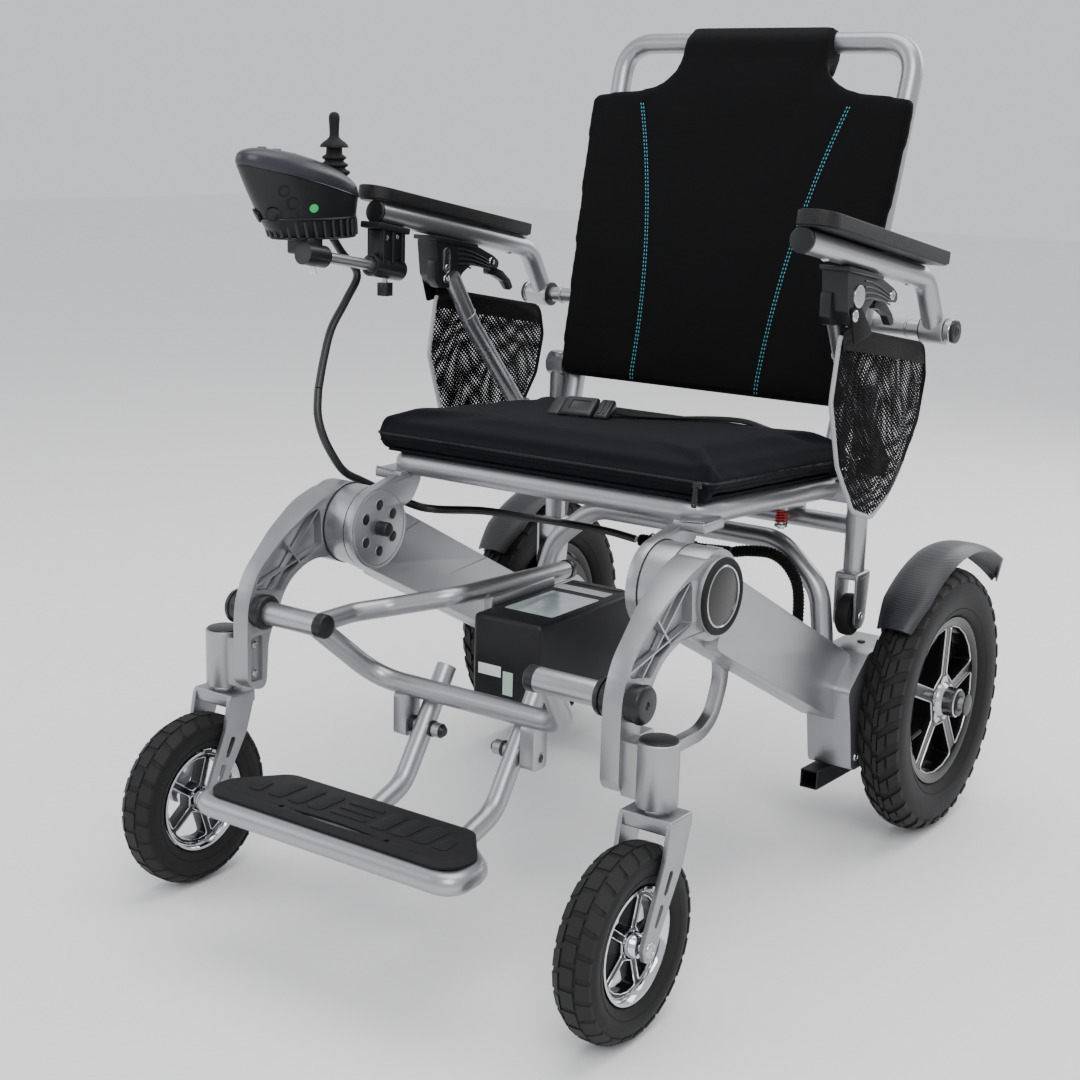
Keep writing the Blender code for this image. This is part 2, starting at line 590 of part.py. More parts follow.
def back_pad():
    """Padded sling in front of the posts: shoulders, a neck over the top bar and two hand gaps."""
    half = [(0.098, 0.4187), (0.100, 0.385), (0.112, 0.360), (0.150, 0.349), (0.212, 0.344),
            (0.220, 0.334), (0.2115, 0.200), (0.198, 0.020), (0.189, -0.0176)]
    guide = outline_solid([half + [(-x, h) for x, h in reversed(half)]], 0.0210)
    lean = atan2(BACK_TOP[0] - BACK_PIVOT[0], BACK_TOP[1] - BACK_PIVOT[1])
    guide.rotation_euler = (pi / 2 - lean, 0, 0)
    forward = Vector((0, -cos(lean), sin(lean)))
    guide.location = Vector((0, *BACK_PIVOT)) + forward * 0.0236
    bpy.context.view_layer.update()
    finish(baked("pad", guide), "back_pad", fabric(), (0, *BACK_PIVOT))


def arm_support(side):
    """Strut from the seat's rear corner up to the black bracket under the arm tube."""
    strut = tube([(side * 0.2525, *STRUT_TOP), (side * STRUT_X, *STRUT_BEND),
                  (side * STRUT_X, *STRUT_FOOT)], 0.0105, bend=0.06)
    bracket = side_plate([[(-0.002, 0.6868), (0.075, 0.6728), (0.112, 0.6570), (0.124, 0.6500),
                           (0.122, 0.6420), (0.098, 0.6445), (0.070, 0.6510), (0.050, 0.6400),
                           (0.042, 0.6260), (0.018, 0.6240), (0.006, 0.6400)]],
                         side * 0.2505, side * 0.2825)
    run = (Vector(STRUT_FOOT) - Vector(STRUT_BEND)).normalized()
    across = Vector((-run.y, run.x)) * 0.0104
    foot = Vector(STRUT_FOOT) - run * 0.0005
    heel = foot - run * 0.0195
    tab = side_plate([[tuple(foot + across), tuple(foot - across), tuple(heel - across),
                       tuple(heel + across)]], side * 0.2353, side * 0.2430)
    finish(combine(strut, [bracket, tab]), "arm_support_" + SIDES[side], silver(), (0, *BACK_PIVOT))


def mesh_bag(side):
    """Shield-shaped side pocket, hanging between the bracket and the arm's rear pivot."""
    outline = [(0.012, 0.6180), (0.236, 0.5800), (0.247, 0.5500), (0.235, 0.5010), (0.203, 0.4560),
               (0.165, 0.4210), (0.125, 0.4040), (0.075, 0.4200), (0.030, 0.4750), (0.006, 0.5450)]
    finish(side_plate([outline], side * 0.2640, side * 0.2760), "mesh_bag_" + SIDES[side], fabric(),
           (0, *BACK_PIVOT))


# ---- arms ------------------------------------------------------------------------------------
def armrest(side):
    """Bent arm tube with its rear knuckle, and the pad on top."""
    x = side * ARM_X
    bar = tube([(x, *ARM_FRONT), (x, *ARM_BEND), (x, *ARM_PIVOT)], 0.0125, bend=0.030, sides=3)
    knuckle = rod((side * 0.2585, *ARM_PIVOT), (side * 0.2856, *ARM_PIVOT), 0.0155, 16)
    bar = combine(bar, [knuckle])
    bore = rod((side * 0.2480, *ARM_PIVOT), (side * 0.2960, *ARM_PIVOT), 0.0102, 12)
    finish(combine(bar, [bore], "DIFFERENCE"), "arm_tube_" + SIDES[side], silver(), (0, *ARM_PIVOT))
    slope = atan2(ARM_FRONT[1] - ARM_BEND[1], ARM_BEND[0] - ARM_FRONT[0])
    front = ARM_FRONT[0] - 0.0098
    pad = box((side * 0.281 - 0.0228, 0.0, 0.0131), (side * 0.281 + 0.0228, 0.303, 0.0291), 0.006, 2)
    pad.data.transform(Matrix.Rotation(-slope, 4, "X"))
    pad.data.transform(Matrix.Translation((0, front, ARM_FRONT[1] + 0.0098 * tan(slope))))
    finish(pad, "arm_pad_" + SIDES[side], black_plastic(), (0, *ARM_PIVOT))


# ---- joystick --------------------------------------------------------------------------------
def on_rod(y, x=-ARM_X):
    """A point on the axis of the joystick's rod."""
    return (x, y, ROD_REAR[1] + ROD_SLOPE * (y - ROD_REAR[0]))


def joystick_mount():
    """Clamp under the right arm, the sliding rod in it, and the knob that locks the rod."""
    sleeve = rod(on_rod(-0.0957), on_rod(-0.0443), 0.0125, 16)
    block = box((-ARM_X - 0.0090, -0.088, 0.6620), (-ARM_X + 0.0090, -0.048, 0.6950))
    clamp = combine(sleeve, [block])
    bore = rod(on_rod(-0.110), on_rod(-0.030), 0.0069, 16)
    screw_hole = rod((-ARM_X, -0.070, 0.6300), (-ARM_X, -0.070, 0.6440), 0.0036, 12)
    finish(combine(clamp, [bore, screw_hole], "DIFFERENCE"), "joystick_clamp", black_plastic(),
           (0, *ARM_PIVOT))
    finish(rod(on_rod(-0.1736), on_rod(ROD_REAR[0]), 0.0064, 16), "joystick_rod", silver(),
           on_rod(ROD_REAR[0]))
    knob = rod((-ARM_X, -0.070, 0.6210), (-ARM_X, -0.070, 0.6360), 0.0080, 12)
    stem = rod((-ARM_X, -0.070, 0.6350), (-ARM_X, -0.070, 0.6430), 0.0030, 8)
    finish(combine(knob, [stem]), "clamp_knob", black_plastic(), (-ARM_X, -0.070, 0.636))


def ellipse_ring(work, centre, half_x, half_y, tilt, steps):
    ring = []
    for k in range(steps):
        angle = 2 * pi * k / steps
        v = half_y * sin(angle)
        ring.append(work.verts.new((centre[0] + half_x * cos(angle), centre[1] + v,
                                    centre[2] - v * tan(tilt))))
    return ring


def joystick_case():
    """Egg-shaped case, lofted from a round foot through a tilted rim to a domed top."""
    steps, rise = 24, 0.2175
    rings = [((-0.165, 0.6900), 0.0300, 0.0600, 0.0), ((-0.171, 0.7000), 0.0315, 0.0680, 0.05),
             ((-0.180, 0.7240), 0.0335, 0.0790, 0.13), ((-0.188, 0.7480), 0.0350, 0.0895, rise),
             ((-0.189, 0.7550), 0.0355, 0.0905, rise), ((-0.189, 0.7640), 0.0335, 0.0850, rise),
             ((-0.189, 0.7715), 0.0265, 0.0680, rise), ((-0.189, 0.7765), 0.0160, 0.0410, rise),
             ((-0.189, 0.7785), 0.0060, 0.0150, rise)]
    work = bmesh.new()
    loops = [ellipse_ring(work, (CASE_X, *centre), *sizes, steps) for centre, *sizes in rings]
    for low, high in zip(loops, loops[1:]):
        for k in range(steps):
            n = (k + 1) % steps
            work.faces.new((low[k], low[n], high[n], high[k]))
    work.faces.new(list(reversed(loops[0])))
    work.faces.new(loops[-1])
    mesh = bpy.data.meshes.new("case")
    work.to_mesh(mesh)
    work.free()
    shell = baked("case", scene_object("case", mesh))
    elbow = rod(on_rod(-0.2070), on_rod(-0.1745), 0.0125, 16)
    neck = box((-0.300, -0.202, 0.6740), (-0.268, -0.180, 0.6940))
    shell = combine(shell, [elbow, neck])
    pockets = [rod((CASE_X, STICK_Y, 0.7545), (CASE_X, STICK_Y, 0.8000), 0.0150, 20)]
    for (x, y), (floor, top) in BUTTONS.values():
        pockets.append(rod((x, y, floor - 0.0015), (x, y, 0.8100), BUTTON_RADIUS + GAP, 12))
    finish(combine(shell, pockets, "DIFFERENCE"), "joystick_case", black_plastic(),
           on_rod(ROD_REAR[0]))


BUTTON_RADIUS = 0.0050
BUTTONS = {"power_button": ((CASE_X, -0.200), (0.7700, 0.7812)),
           "horn_button": ((CASE_X, -0.223), (0.7740, 0.7858)),
           "speed_button": ((CASE_X, -0.246), (0.7760, 0.7880))}


def joystick_controls():
    """Gimbal, stick, bellows boot and the three push buttons on the case."""
    tip = (CASE_X, STICK_Y, 0.766)
    gimbal = box((CASE_X - 0.0050, STICK_Y - 0.0050, 0.7564), (CASE_X + 0.0050, STICK_Y + 0.0050, 0.7600))
    finish(gimbal, "joystick_gimbal", black_plastic(), tip)
    stick = turned([(0.0, 0.8260), (0.0045, 0.8245), (0.0062, 0.8200), (0.0058, 0.7985), (0.0150, 0.7905),
                    (0.0160, 0.7880), (0.0150, 0.7872), (0.0040, 0.7872), (0.0040, 0.7640), (0.0, 0.7640)],
                   20)
    stick.location = (CASE_X, STICK_Y, 0)
    bpy.context.view_layer.update()
    finish(baked("stick", stick), "joystick_stick", rubber(), tip)
    boot = turned([(0.0100, 0.7868), (0.0110, 0.7780), (0.0145, 0.7740), (0.0115, 0.7700), (0.0148, 0.7660),
                   (0.0148, 0.7620), (0.0085, 0.7620), (0.0085, 0.7868)], 20, True)
    boot.location = (CASE_X, STICK_Y, 0)
    bpy.context.view_layer.update()
    finish(baked("boot", boot), "joystick_boot", rubber(), tip)
    for name, ((x, y), (floor, top)) in BUTTONS.items():
        finish(rod((x, y, floor), (x, y, top), BUTTON_RADIUS, 12), name, black_plastic(), (x, y, top))


# ---- cables ----------------------------------------------------------------------------------
def smooth_route(points, spacing):
    """Points along a Catmull-Rom curve through the route's own points."""
    places = [Vector(p) for p in points]
    places = [places[0] * 2 - places[1]] + places + [places[-1] * 2 - places[-2]]
    path = []
    for a, b, c, d in zip(places, places[1:], places[2:], places[3:]):
        count = max(1, round((c - b).length / spacing))
        for k in range(count):
            t = k / count
            path.append(0.5 * ((2 * b) + (c - a) * t + (2 * a - 5 * b + 4 * c - d) * t ** 2
                               + (3 * b - a - 3 * c + d) * t ** 3))
    path.append(places[-2])
    return path


UPPER_CABLE = [(-0.3050, -0.1220, 0.6858), (-0.3060, -0.1050, 0.6680), (-0.3030, -0.0820, 0.6430),
               (-0.2985, -0.1060, 0.6150), (-0.2900, -0.1410, 0.5850), (-0.2820, -0.1630, 0.5520),
               (-0.2750, -0.1790, 0.5220)]
LOWER_CABLE = [(-0.2750, -0.1793, 0.5212), (-0.2680, -0.1880, 0.4950), (-0.2600, -0.1880, 0.4710),
               (-0.2540, -0.1770, 0.4460), (-0.2500, -0.1620, 0.4270), (-0.2420, -0.1380, 0.4130),
               (-0.2100, -0.0950, 0.3860), (-0.1820, -0.0820, 0.3810), (-0.1600, -0.0200, 0.3720),
               (-0.1400, 0.0500, 0.3550), (-0.1240, 0.1000, 0.3420), (-0.0800, 0.1250, 0.3350),
               (-0.0400, 0.1300, 0.3300)]
SEAT_HARNESS = [(-0.0345, 0.1300, 0.3300), (0.0250, 0.1330, 0.3300), (0.0850, 0.1400, 0.3320)]
ARCH_HARNESS = [(0.0880, 0.1412, 0.3332), (0.1080, 0.1450, 0.3370), (0.1360, 0.1490, 0.3370),
                (0.1580, 0.1500, 0.3230), (0.1720, 0.1470, 0.2980), (0.1760, 0.1420, 0.2500)]


def cables():
    """The joystick's lead in two lengths, and the wiring under the seat and down the arch."""
    black = material("cable", (0.012, 0.012, 0.012), 0.4)
    for name, route, radius in (("joystick_cable_upper", UPPER_CABLE, 0.0048),
                                ("joystick_cable_lower", LOWER_CABLE, 0.0048),
                                ("seat_harness", SEAT_HARNESS, 0.0080),
                                ("arch_harness", ARCH_HARNESS, 0.0070)):
        path = smooth_route(route, radius * 5)
        finish(tube(path, radius, bend=0.0, steps=1, sides=2), name, black)


# ---- everything ------------------------------------------------------------------------------
SIDES = {1: "left", -1: "right"}

for old in list(bpy.data.objects):
    bpy.data.objects.remove(old)
PARTS = bpy.data.collections.new("power_wheelchair")
bpy.context.scene.collection.children.link(PARTS)


def build():
    seat_rail()
    rear_upright_frame()
    seat_soft()
    fold_lock()
    front_crossbar()
    battery()
    footrest()
    rear_arch()
    back_frame()
    back_pad()
    for side in (1, -1):
        trolley_wheel(side)
        front_leg(side)
        caster_fork(side)
        caster_wheel(side)
        rear_leg(side)
        anti_tip_tube(side)
        fender(side)
        clutch_lever(side)
        rear_wheel(side)
        arm_support(side)
        mesh_bag(side)
        armrest(side)
    joystick_mount()
    joystick_case()
    joystick_controls()
    cables()


build()
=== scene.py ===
"""Looks for the folding power wheelchair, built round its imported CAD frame.

Lengths are metres. Outlines are drawn from the same datum as the CAD's outlines, and put()
moves each finished piece by DATUM_Y into the row frame. side is 1 on the chair's left, -1 on
its right. Materials come first, then the modelling helpers, then one function per sub-part.
"""

from math import atan2, cos, pi, radians, sin, tan

import bmesh
import bpy
from mathutils import Matrix, Vector, noise
from mathutils.bvhtree import BVHTree


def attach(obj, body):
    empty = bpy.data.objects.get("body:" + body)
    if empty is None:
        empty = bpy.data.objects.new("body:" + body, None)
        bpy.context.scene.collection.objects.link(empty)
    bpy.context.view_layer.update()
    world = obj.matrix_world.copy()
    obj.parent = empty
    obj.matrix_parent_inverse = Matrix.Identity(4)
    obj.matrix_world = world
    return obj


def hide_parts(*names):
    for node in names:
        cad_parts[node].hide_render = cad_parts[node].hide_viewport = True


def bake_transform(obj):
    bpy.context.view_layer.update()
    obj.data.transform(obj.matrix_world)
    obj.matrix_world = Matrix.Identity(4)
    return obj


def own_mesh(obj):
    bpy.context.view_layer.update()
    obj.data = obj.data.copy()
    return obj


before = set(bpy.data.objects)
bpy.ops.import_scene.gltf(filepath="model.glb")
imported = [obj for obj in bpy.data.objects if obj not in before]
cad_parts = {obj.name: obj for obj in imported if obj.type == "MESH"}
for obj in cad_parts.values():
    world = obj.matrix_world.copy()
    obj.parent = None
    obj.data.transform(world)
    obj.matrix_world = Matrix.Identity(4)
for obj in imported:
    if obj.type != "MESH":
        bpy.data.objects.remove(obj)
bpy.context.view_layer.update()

# ---- driving sizes, shared with the CAD -------------------------------------------------------
SIDES = {1: "left", -1: "right"}
DATUM_Y = 0.01
HUB = (-0.1885, 0.378)
PIVOT = (-0.325, 0.303)
REAR_AXLE = (0.288, 0.159)
REAR_X = 0.2857
REAR_RADIUS = 0.159
CASTER_AXLE = (-0.375, 0.094)
STEM = (0.278, -0.3275)
CASTER_RADIUS = 0.094
SEAT_FRONT = (-0.13, 0.442)
SEAT_PITCH = radians(-3.28)
BACK_PIVOT = (0.208, 0.52)
BACK_TOP = (0.317, 0.92)
BACK_LEAN = atan2(BACK_TOP[0] - BACK_PIVOT[0], BACK_TOP[1] - BACK_PIVOT[1])
ARM_X = 0.271
ARM_PIVOT = (0.249, 0.602)
ARM_FRONT = (-0.086, 0.716)
ARM_BEND = (0.212, 0.663)
ARM_SLOPE = atan2(ARM_FRONT[1] - ARM_BEND[1], ARM_BEND[0] - ARM_FRONT[0])
FOOT_PIVOT = (-0.249, 0.19)
FOOT_TUBE_X = 0.06
CASE_X = -0.295
STICK_Y = -0.131
LOCK = (0.13, 0.176)
TUBE = 0.0125
UPRIGHT_X = 0.2125


# ---- camera, light and floor ------------------------------------------------------------------
def camera():
    """The photograph's viewpoint: about 36 degrees to the chair's left of its front."""
    yaw, pitch, roll = radians(35.548), radians(12.4665), radians(1.4528)
    back = Vector((sin(yaw) * cos(pitch), -cos(yaw) * cos(pitch), sin(pitch)))
    level = (-back).cross(Vector((0, 0, 1))).normalized()
    rise = level.cross(-back)
    right = cos(roll) * level + sin(roll) * rise
    up = -sin(roll) * level + cos(roll) * rise
    data = bpy.data.cameras.new("camera")
    data.lens, data.sensor_width = 58.99, 36.0
    data.shift_x, data.shift_y = 0.0114, -0.0283
    data.clip_start, data.clip_end = 0.05, 50
    eye = bpy.data.objects.new("camera", data)
    place = Matrix((right, up, back)).transposed().to_4x4()
    place.translation = (1.0649, -1.6339, 0.8246)
    eye.matrix_world = place
    bpy.context.scene.collection.objects.link(eye)
    bpy.context.scene.camera = eye


def softbox(name, place, target, size, power, tint=(1.0, 1.0, 1.0)):
    data = bpy.data.lights.new(name, "AREA")
    data.shape, data.size, data.size_y = "RECTANGLE", size[0], size[1]
    data.energy, data.color = power, tint
    lamp = bpy.data.objects.new(name, data)
    lamp.location = place
    lamp.rotation_euler = (Vector(target) - Vector(place)).to_track_quat("-Z", "Y").to_euler()
    bpy.context.scene.collection.objects.link(lamp)


def studio():
    """A pale floor and broad soft light from above, the front and both sides."""
    world = bpy.data.worlds.new("studio")
    world.use_nodes = True
    sky = world.node_tree.nodes["Background"]
    sky.inputs["Color"].default_value = (0.95, 0.965, 1.0, 1.0)
    sky.inputs["Strength"].default_value = 0.85
    bpy.context.scene.world = world
    softbox("key", (1.6, -2.2, 2.6), (0, 0, 0.4), (1.8, 1.8), 52)
    softbox("fill", (-2.4, -1.6, 1.5), (0, 0, 0.4), (2.2, 1.6), 14, (0.93, 0.96, 1.0))
    softbox("top", (0.1, 0.3, 3.0), (0, 0, 0.3), (2.4, 2.4), 44)
    softbox("rear", (0.6, 2.6, 1.8), (0, 0, 0.5), (2.4, 1.4), 30)
    mesh = bpy.data.meshes.new("floor")
    reach = 12.0
    mesh.from_pydata([(-reach, -reach, 0), (reach, -reach, 0), (reach, reach, 0),
        (-reach, reach, 0)], [], [(0, 1, 2, 3)])
    floor = bpy.data.objects.new("floor", mesh)
    bpy.context.scene.collection.objects.link(floor)
    look = bpy.data.materials.new("floor")
    look.use_nodes = True
    shader = look.node_tree.nodes["Principled BSDF"]
    shader.inputs["Base Color"].default_value = (0.93, 0.93, 0.93, 1)
    shader.inputs["Roughness"].default_value = 0.7
    mesh.materials.append(look)


# ---- materials --------------------------------------------------------------------------------
FINISHES = {}


def noise_node(nodes, links, coordinates, scale, detail=3.0):
    made = nodes.new("ShaderNodeTexNoise")
    made.inputs["Scale"].default_value = scale
    made.inputs["Detail"].default_value = detail
    links.new(coordinates, made.inputs["Vector"])
    return made.outputs["Fac"]


def spread_node(nodes, links, source, low, high):
    """source, 0 to 1, remapped to low to high."""
    made = nodes.new("ShaderNodeMapRange")
    made.inputs["From Min"].default_value = 0.3
    made.inputs["From Max"].default_value = 0.7
    made.inputs["To Min"].default_value = low
    made.inputs["To Max"].default_value = high
    links.new(source, made.inputs["Value"])
    return made.outputs["Result"]


def mix_color(nodes, links, factor, dark, light):
    made = nodes.new("ShaderNodeMix")
    made.data_type = "RGBA"
    links.new(factor, made.inputs["Factor"])
    for socket, color in ((made.inputs[6], dark), (made.inputs[7], light)):
        if isinstance(color, bpy.types.NodeSocket):
            links.new(color, socket)
        else:
            socket.default_value = (*color, 1.0)
    return made.outputs[2]


def surface(name, color, roughness, metallic=0.0, mottle=0.1, mottle_scale=28.0, grain=700.0,
        depth=0.00012, uneven=0.06, worn=None, height=None, sheen=0.0, coat=0.0, specular=0.5):
    """A Principled material whose colour, roughness and bump vary as the real surface's do.

    worn is the colour that rubbed edges show. height(nodes, links, coordinates) may add a
    pattern, such as a weave, that replaces the fine grain in the bump and paints shade into its
    pits.
    """
    if name in FINISHES:
        return FINISHES[name]
    made = FINISHES[name] = bpy.data.materials.new("finish_" + name)
    made.use_nodes = True
    nodes, links = made.node_tree.nodes, made.node_tree.links
    shader = nodes["Principled BSDF"]
    coordinates = nodes.new("ShaderNodeTexCoord").outputs["Object"]
    broad = noise_node(nodes, links, coordinates, mottle_scale)
    fine = noise_node(nodes, links, coordinates, grain, 2.0)
    dark = tuple(c * (1 - mottle) for c in color)
    light = tuple(min(1.0, c * (1 + mottle)) for c in color)
    tone = mix_color(nodes, links, broad, dark, light)
    relief = fine
    if height:
        relief = height(nodes, links, coordinates)
        # painted shade: where the pattern is low, the colour darkens to 0.35 of itself
        painted_pit_shade = tuple(c * 0.35 for c in color)
        tone = mix_color(nodes, links, relief, painted_pit_shade, tone)
    if worn:
        edge = nodes.new("ShaderNodeNewGeometry").outputs["Pointiness"]
        rub = nodes.new("ShaderNodeMapRange")
        rub.inputs["From Min"].default_value = 0.53
        rub.inputs["From Max"].default_value = 0.62
        rub.inputs["To Max"].default_value = 0.6
        links.new(edge, rub.inputs["Value"])
        tone = mix_color(nodes, links, rub.outputs["Result"], tone, worn)
    links.new(tone, shader.inputs["Base Color"])
    links.new(spread_node(nodes, links, fine, max(0.02, roughness - uneven), roughness + uneven),
        shader.inputs["Roughness"])
    bump = nodes.new("ShaderNodeBump")
    bump.inputs["Strength"].default_value = 0.6
    bump.inputs["Distance"].default_value = depth
    links.new(relief, bump.inputs["Height"])
    links.new(bump.outputs["Normal"], shader.inputs["Normal"])
    shader.inputs["Metallic"].default_value = metallic
    shader.inputs["Specular IOR Level"].default_value = specular
    shader.inputs["Sheen Weight"].default_value = sheen
    shader.inputs["Sheen Roughness"].default_value = 0.5
    shader.inputs["Coat Weight"].default_value = coat
    shader.inputs["Coat Roughness"].default_value = 0.12
    return made


def threads(scale):
    """A plain weave: two crossing sets of bands, in the object's own metres."""

    def height(nodes, links, coordinates):
        bands = []
        for direction in ("X", "Z"):
            wave = nodes.new("ShaderNodeTexWave")
            wave.wave_type = "BANDS"
            wave.bands_direction = direction
            wave.inputs["Scale"].default_value = scale
            wave.inputs["Distortion"].default_value = 0.6
            wave.inputs["Detail"].default_value = 1.0
            links.new(coordinates, wave.inputs["Vector"])
            bands.append(wave.outputs["Fac"])
        both = nodes.new("ShaderNodeMath")
        both.operation = "MULTIPLY"
        links.new(bands[0], both.inputs[0])
        links.new(bands[1], both.inputs[1])
        lift = nodes.new("ShaderNodeMath")
        lift.operation = "SQRT"
        links.new(both.outputs[0], lift.inputs[0])
        return lift.outputs[0]
    return height


def cells(scale):
    """Leather grain: small raised cells with creases between them."""

    def height(nodes, links, coordinates):
        made = nodes.new("ShaderNodeTexVoronoi")
        made.feature = "DISTANCE_TO_EDGE"
        made.inputs["Scale"].default_value = scale
        links.new(coordinates, made.inputs["Vector"])
        lift = nodes.new("ShaderNodeMapRange")
        lift.inputs["From Max"].default_value = 0.25
        links.new(made.outputs["Distance"], lift.inputs["Value"])
        return lift.outputs["Result"]
    return height


def twill(scale):
    """Fine slanting ribs, like a woven carbon look."""

    def height(nodes, links, coordinates):
        wave = nodes.new("ShaderNodeTexWave")
        wave.wave_type = "BANDS"
        wave.bands_direction = "Z"
        wave.inputs["Scale"].default_value = scale
        wave.inputs["Distortion"].default_value = 0.8
        links.new(coordinates, wave.inputs["Vector"])
        return wave.outputs["Fac"]
    return height


LOOKS = {
    "silver_paint": dict(color=(0.37, 0.375, 0.388), roughness=0.34, metallic=0.88, mottle=0.05,
        grain=2600, depth=6e-05, worn=(0.44, 0.445, 0.455)),
    "cast_silver": dict(color=(0.33, 0.335, 0.347), roughness=0.38, metallic=0.88, mottle=0.07,
        grain=1500, depth=0.00016, worn=(0.44, 0.445, 0.455)),
    "weld_silver": dict(color=(0.27, 0.275, 0.285), roughness=0.3, metallic=0.85, mottle=0.15,
        mottle_scale=220, grain=900, depth=0.0003),
    "bright_steel": dict(color=(0.5, 0.51, 0.52), roughness=0.18, metallic=1.0, mottle=0.05,
        grain=900, depth=3e-05, uneven=0.04),
    "chrome": dict(color=(0.62, 0.63, 0.65), roughness=0.08, metallic=1.0, mottle=0.03, grain=500,
        depth=2e-05, uneven=0.03),
    "machined": dict(color=(0.52, 0.52, 0.53), roughness=0.24, metallic=1.0, mottle=0.04,
        grain=1800, depth=4e-05),
    "black_plastic": dict(color=(0.008, 0.008, 0.009), roughness=0.42, mottle=0.2, grain=2200,
        depth=8e-05, worn=(0.02, 0.02, 0.022), specular=0.3),
    "satin_black": dict(color=(0.009, 0.0095, 0.011), roughness=0.34, mottle=0.15, grain=1800,
        depth=7e-05, worn=(0.022, 0.022, 0.026), specular=0.35),
    "gloss_black": dict(color=(0.005, 0.005, 0.0055), roughness=0.22, mottle=0.2, grain=900,
        depth=2e-05, uneven=0.04, specular=0.35),
    "rubber": dict(color=(0.0085, 0.0085, 0.009), roughness=0.62, mottle=0.25, grain=1600,
        depth=0.00018, uneven=0.1, worn=(0.016, 0.016, 0.017), specular=0.22),
    "tyre_rubber": dict(color=(0.0095, 0.0095, 0.01), roughness=0.62, mottle=0.3, mottle_scale=60,
        grain=1300, depth=0.00022, uneven=0.1, worn=(0.016, 0.016, 0.016), specular=0.25),
    "stretch_fabric": dict(color=(0.004, 0.0041, 0.0048), roughness=0.8, mottle=0.18,
        mottle_scale=14, height=threads(430), depth=0.00022, sheen=0.02, specular=0.1),
    "seat_fabric": dict(color=(0.0038, 0.0044, 0.0085), roughness=0.72, mottle=0.2, mottle_scale=12,
        height=threads(330), depth=0.0003, sheen=0.02, specular=0.12),
    "net_fabric": dict(color=(0.005, 0.005, 0.006), roughness=0.72, mottle=0.2, mottle_scale=90,
        height=threads(900), depth=0.0002, specular=0.08),
    "webbing": dict(color=(0.006, 0.006, 0.0065), roughness=0.68, mottle=0.15, mottle_scale=50,
        height=threads(620), depth=0.0003, sheen=0.03, specular=0.12),
    "leather": dict(color=(0.008, 0.008, 0.0088), roughness=0.46, mottle=0.2, mottle_scale=26,
        height=cells(560), depth=0.0003, worn=(0.02, 0.02, 0.021), specular=0.35),
    "carbon": dict(color=(0.017, 0.019, 0.024), roughness=0.36, mottle=0.2, mottle_scale=20,
        height=twill(150), depth=0.0002),
    "piping": dict(color=(0.62, 0.64, 0.66), roughness=0.6, mottle=0.08, mottle_scale=60,
        height=threads(500), depth=0.0003, sheen=0.2),
    "teal_thread": dict(color=(0.045, 0.36, 0.45), roughness=0.55, mottle=0.2, mottle_scale=300,
        grain=3000, depth=0.0002, sheen=0.2),
    "pale_label": dict(color=(0.78, 0.79, 0.8), roughness=0.3, mottle=0.04, mottle_scale=90,
        grain=900, depth=2e-05, coat=0.4),
    "cable": dict(color=(0.013, 0.013, 0.014), roughness=0.36, mottle=0.15, grain=1400,
        depth=8e-05),
    "bronze_disc": dict(color=(0.008, 0.0072, 0.005), roughness=0.24, mottle=0.1, grain=900,
        depth=2e-05, uneven=0.05, specular=0.35),
    "red_paint": dict(color=(0.45, 0.012, 0.015), roughness=0.3, metallic=0.3, mottle=0.1),
    "film_label": dict(color=(0.36, 0.43, 0.44), roughness=0.1, metallic=0.0, mottle=0.5,
        mottle_scale=26, grain=300, depth=3e-05, uneven=0.05, coat=0.9),
    "green_label": dict(color=(0.45, 0.62, 0.5), roughness=0.35),
    "cover_grey": dict(color=(0.026, 0.029, 0.036), roughness=0.34, metallic=0.2, mottle=0.12,
        mottle_scale=18, grain=2600, depth=6e-05, worn=(0.05, 0.054, 0.062)),
    "green_dot": dict(color=(0.02, 0.52, 0.13), roughness=0.25, mottle=0.05, grain=500, depth=2e-05,
        coat=0.5),
    "clear_screw": dict(color=(0.75, 0.77, 0.78), roughness=0.12, mottle=0.05, grain=400,
        depth=2e-05, coat=0.6),
    "button_grey": dict(color=(0.09, 0.095, 0.1), roughness=0.45),
}


def finish(name):
    """The material of that name in LOOKS, made when it is first asked for."""
    return surface(name, **LOOKS[name])


# ---- modelling helpers ------------------------------------------------------------------------
def link(name, mesh):
    made = bpy.data.objects.new(name, mesh)
    bpy.context.scene.collection.objects.link(made)
    return made


def baked(source):
    """The evaluated shape of source as a plain mesh object, in world space."""
    view = bpy.context.evaluated_depsgraph_get()
    view.update()
    mesh = bpy.data.meshes.new_from_object(source.evaluated_get(view), depsgraph=view)
    mesh.transform(source.matrix_world)
    name = source.name
    bpy.data.objects.remove(source)
    work = bmesh.new()
    work.from_mesh(mesh)
    bmesh.ops.remove_doubles(work, verts=work.verts, dist=1e-06)
    bmesh.ops.recalc_face_normals(work, faces=work.faces)
    work.to_mesh(mesh)
    work.free()
    return link(name, mesh)


def from_faces(name, verts, faces):
    mesh = bpy.data.meshes.new(name)
    mesh.from_pydata([tuple(v) for v in verts], [], faces)
    work = bmesh.new()
    work.from_mesh(mesh)
    bmesh.ops.remove_doubles(work, verts=work.verts, dist=1e-07)
    bmesh.ops.recalc_face_normals(work, faces=work.faces)
    work.to_mesh(mesh)
    work.free()
    return link(name, mesh)


def softened(piece, width, segments=3, angle=35):
    """Rounds a piece's edges."""
    edges = piece.modifiers.new("bevel", "BEVEL")
    edges.width = width
    edges.segments = segments
    edges.limit_method = "ANGLE"
    edges.angle_limit = radians(angle)
    edges.use_clamp_overlap = True
    return baked(piece)


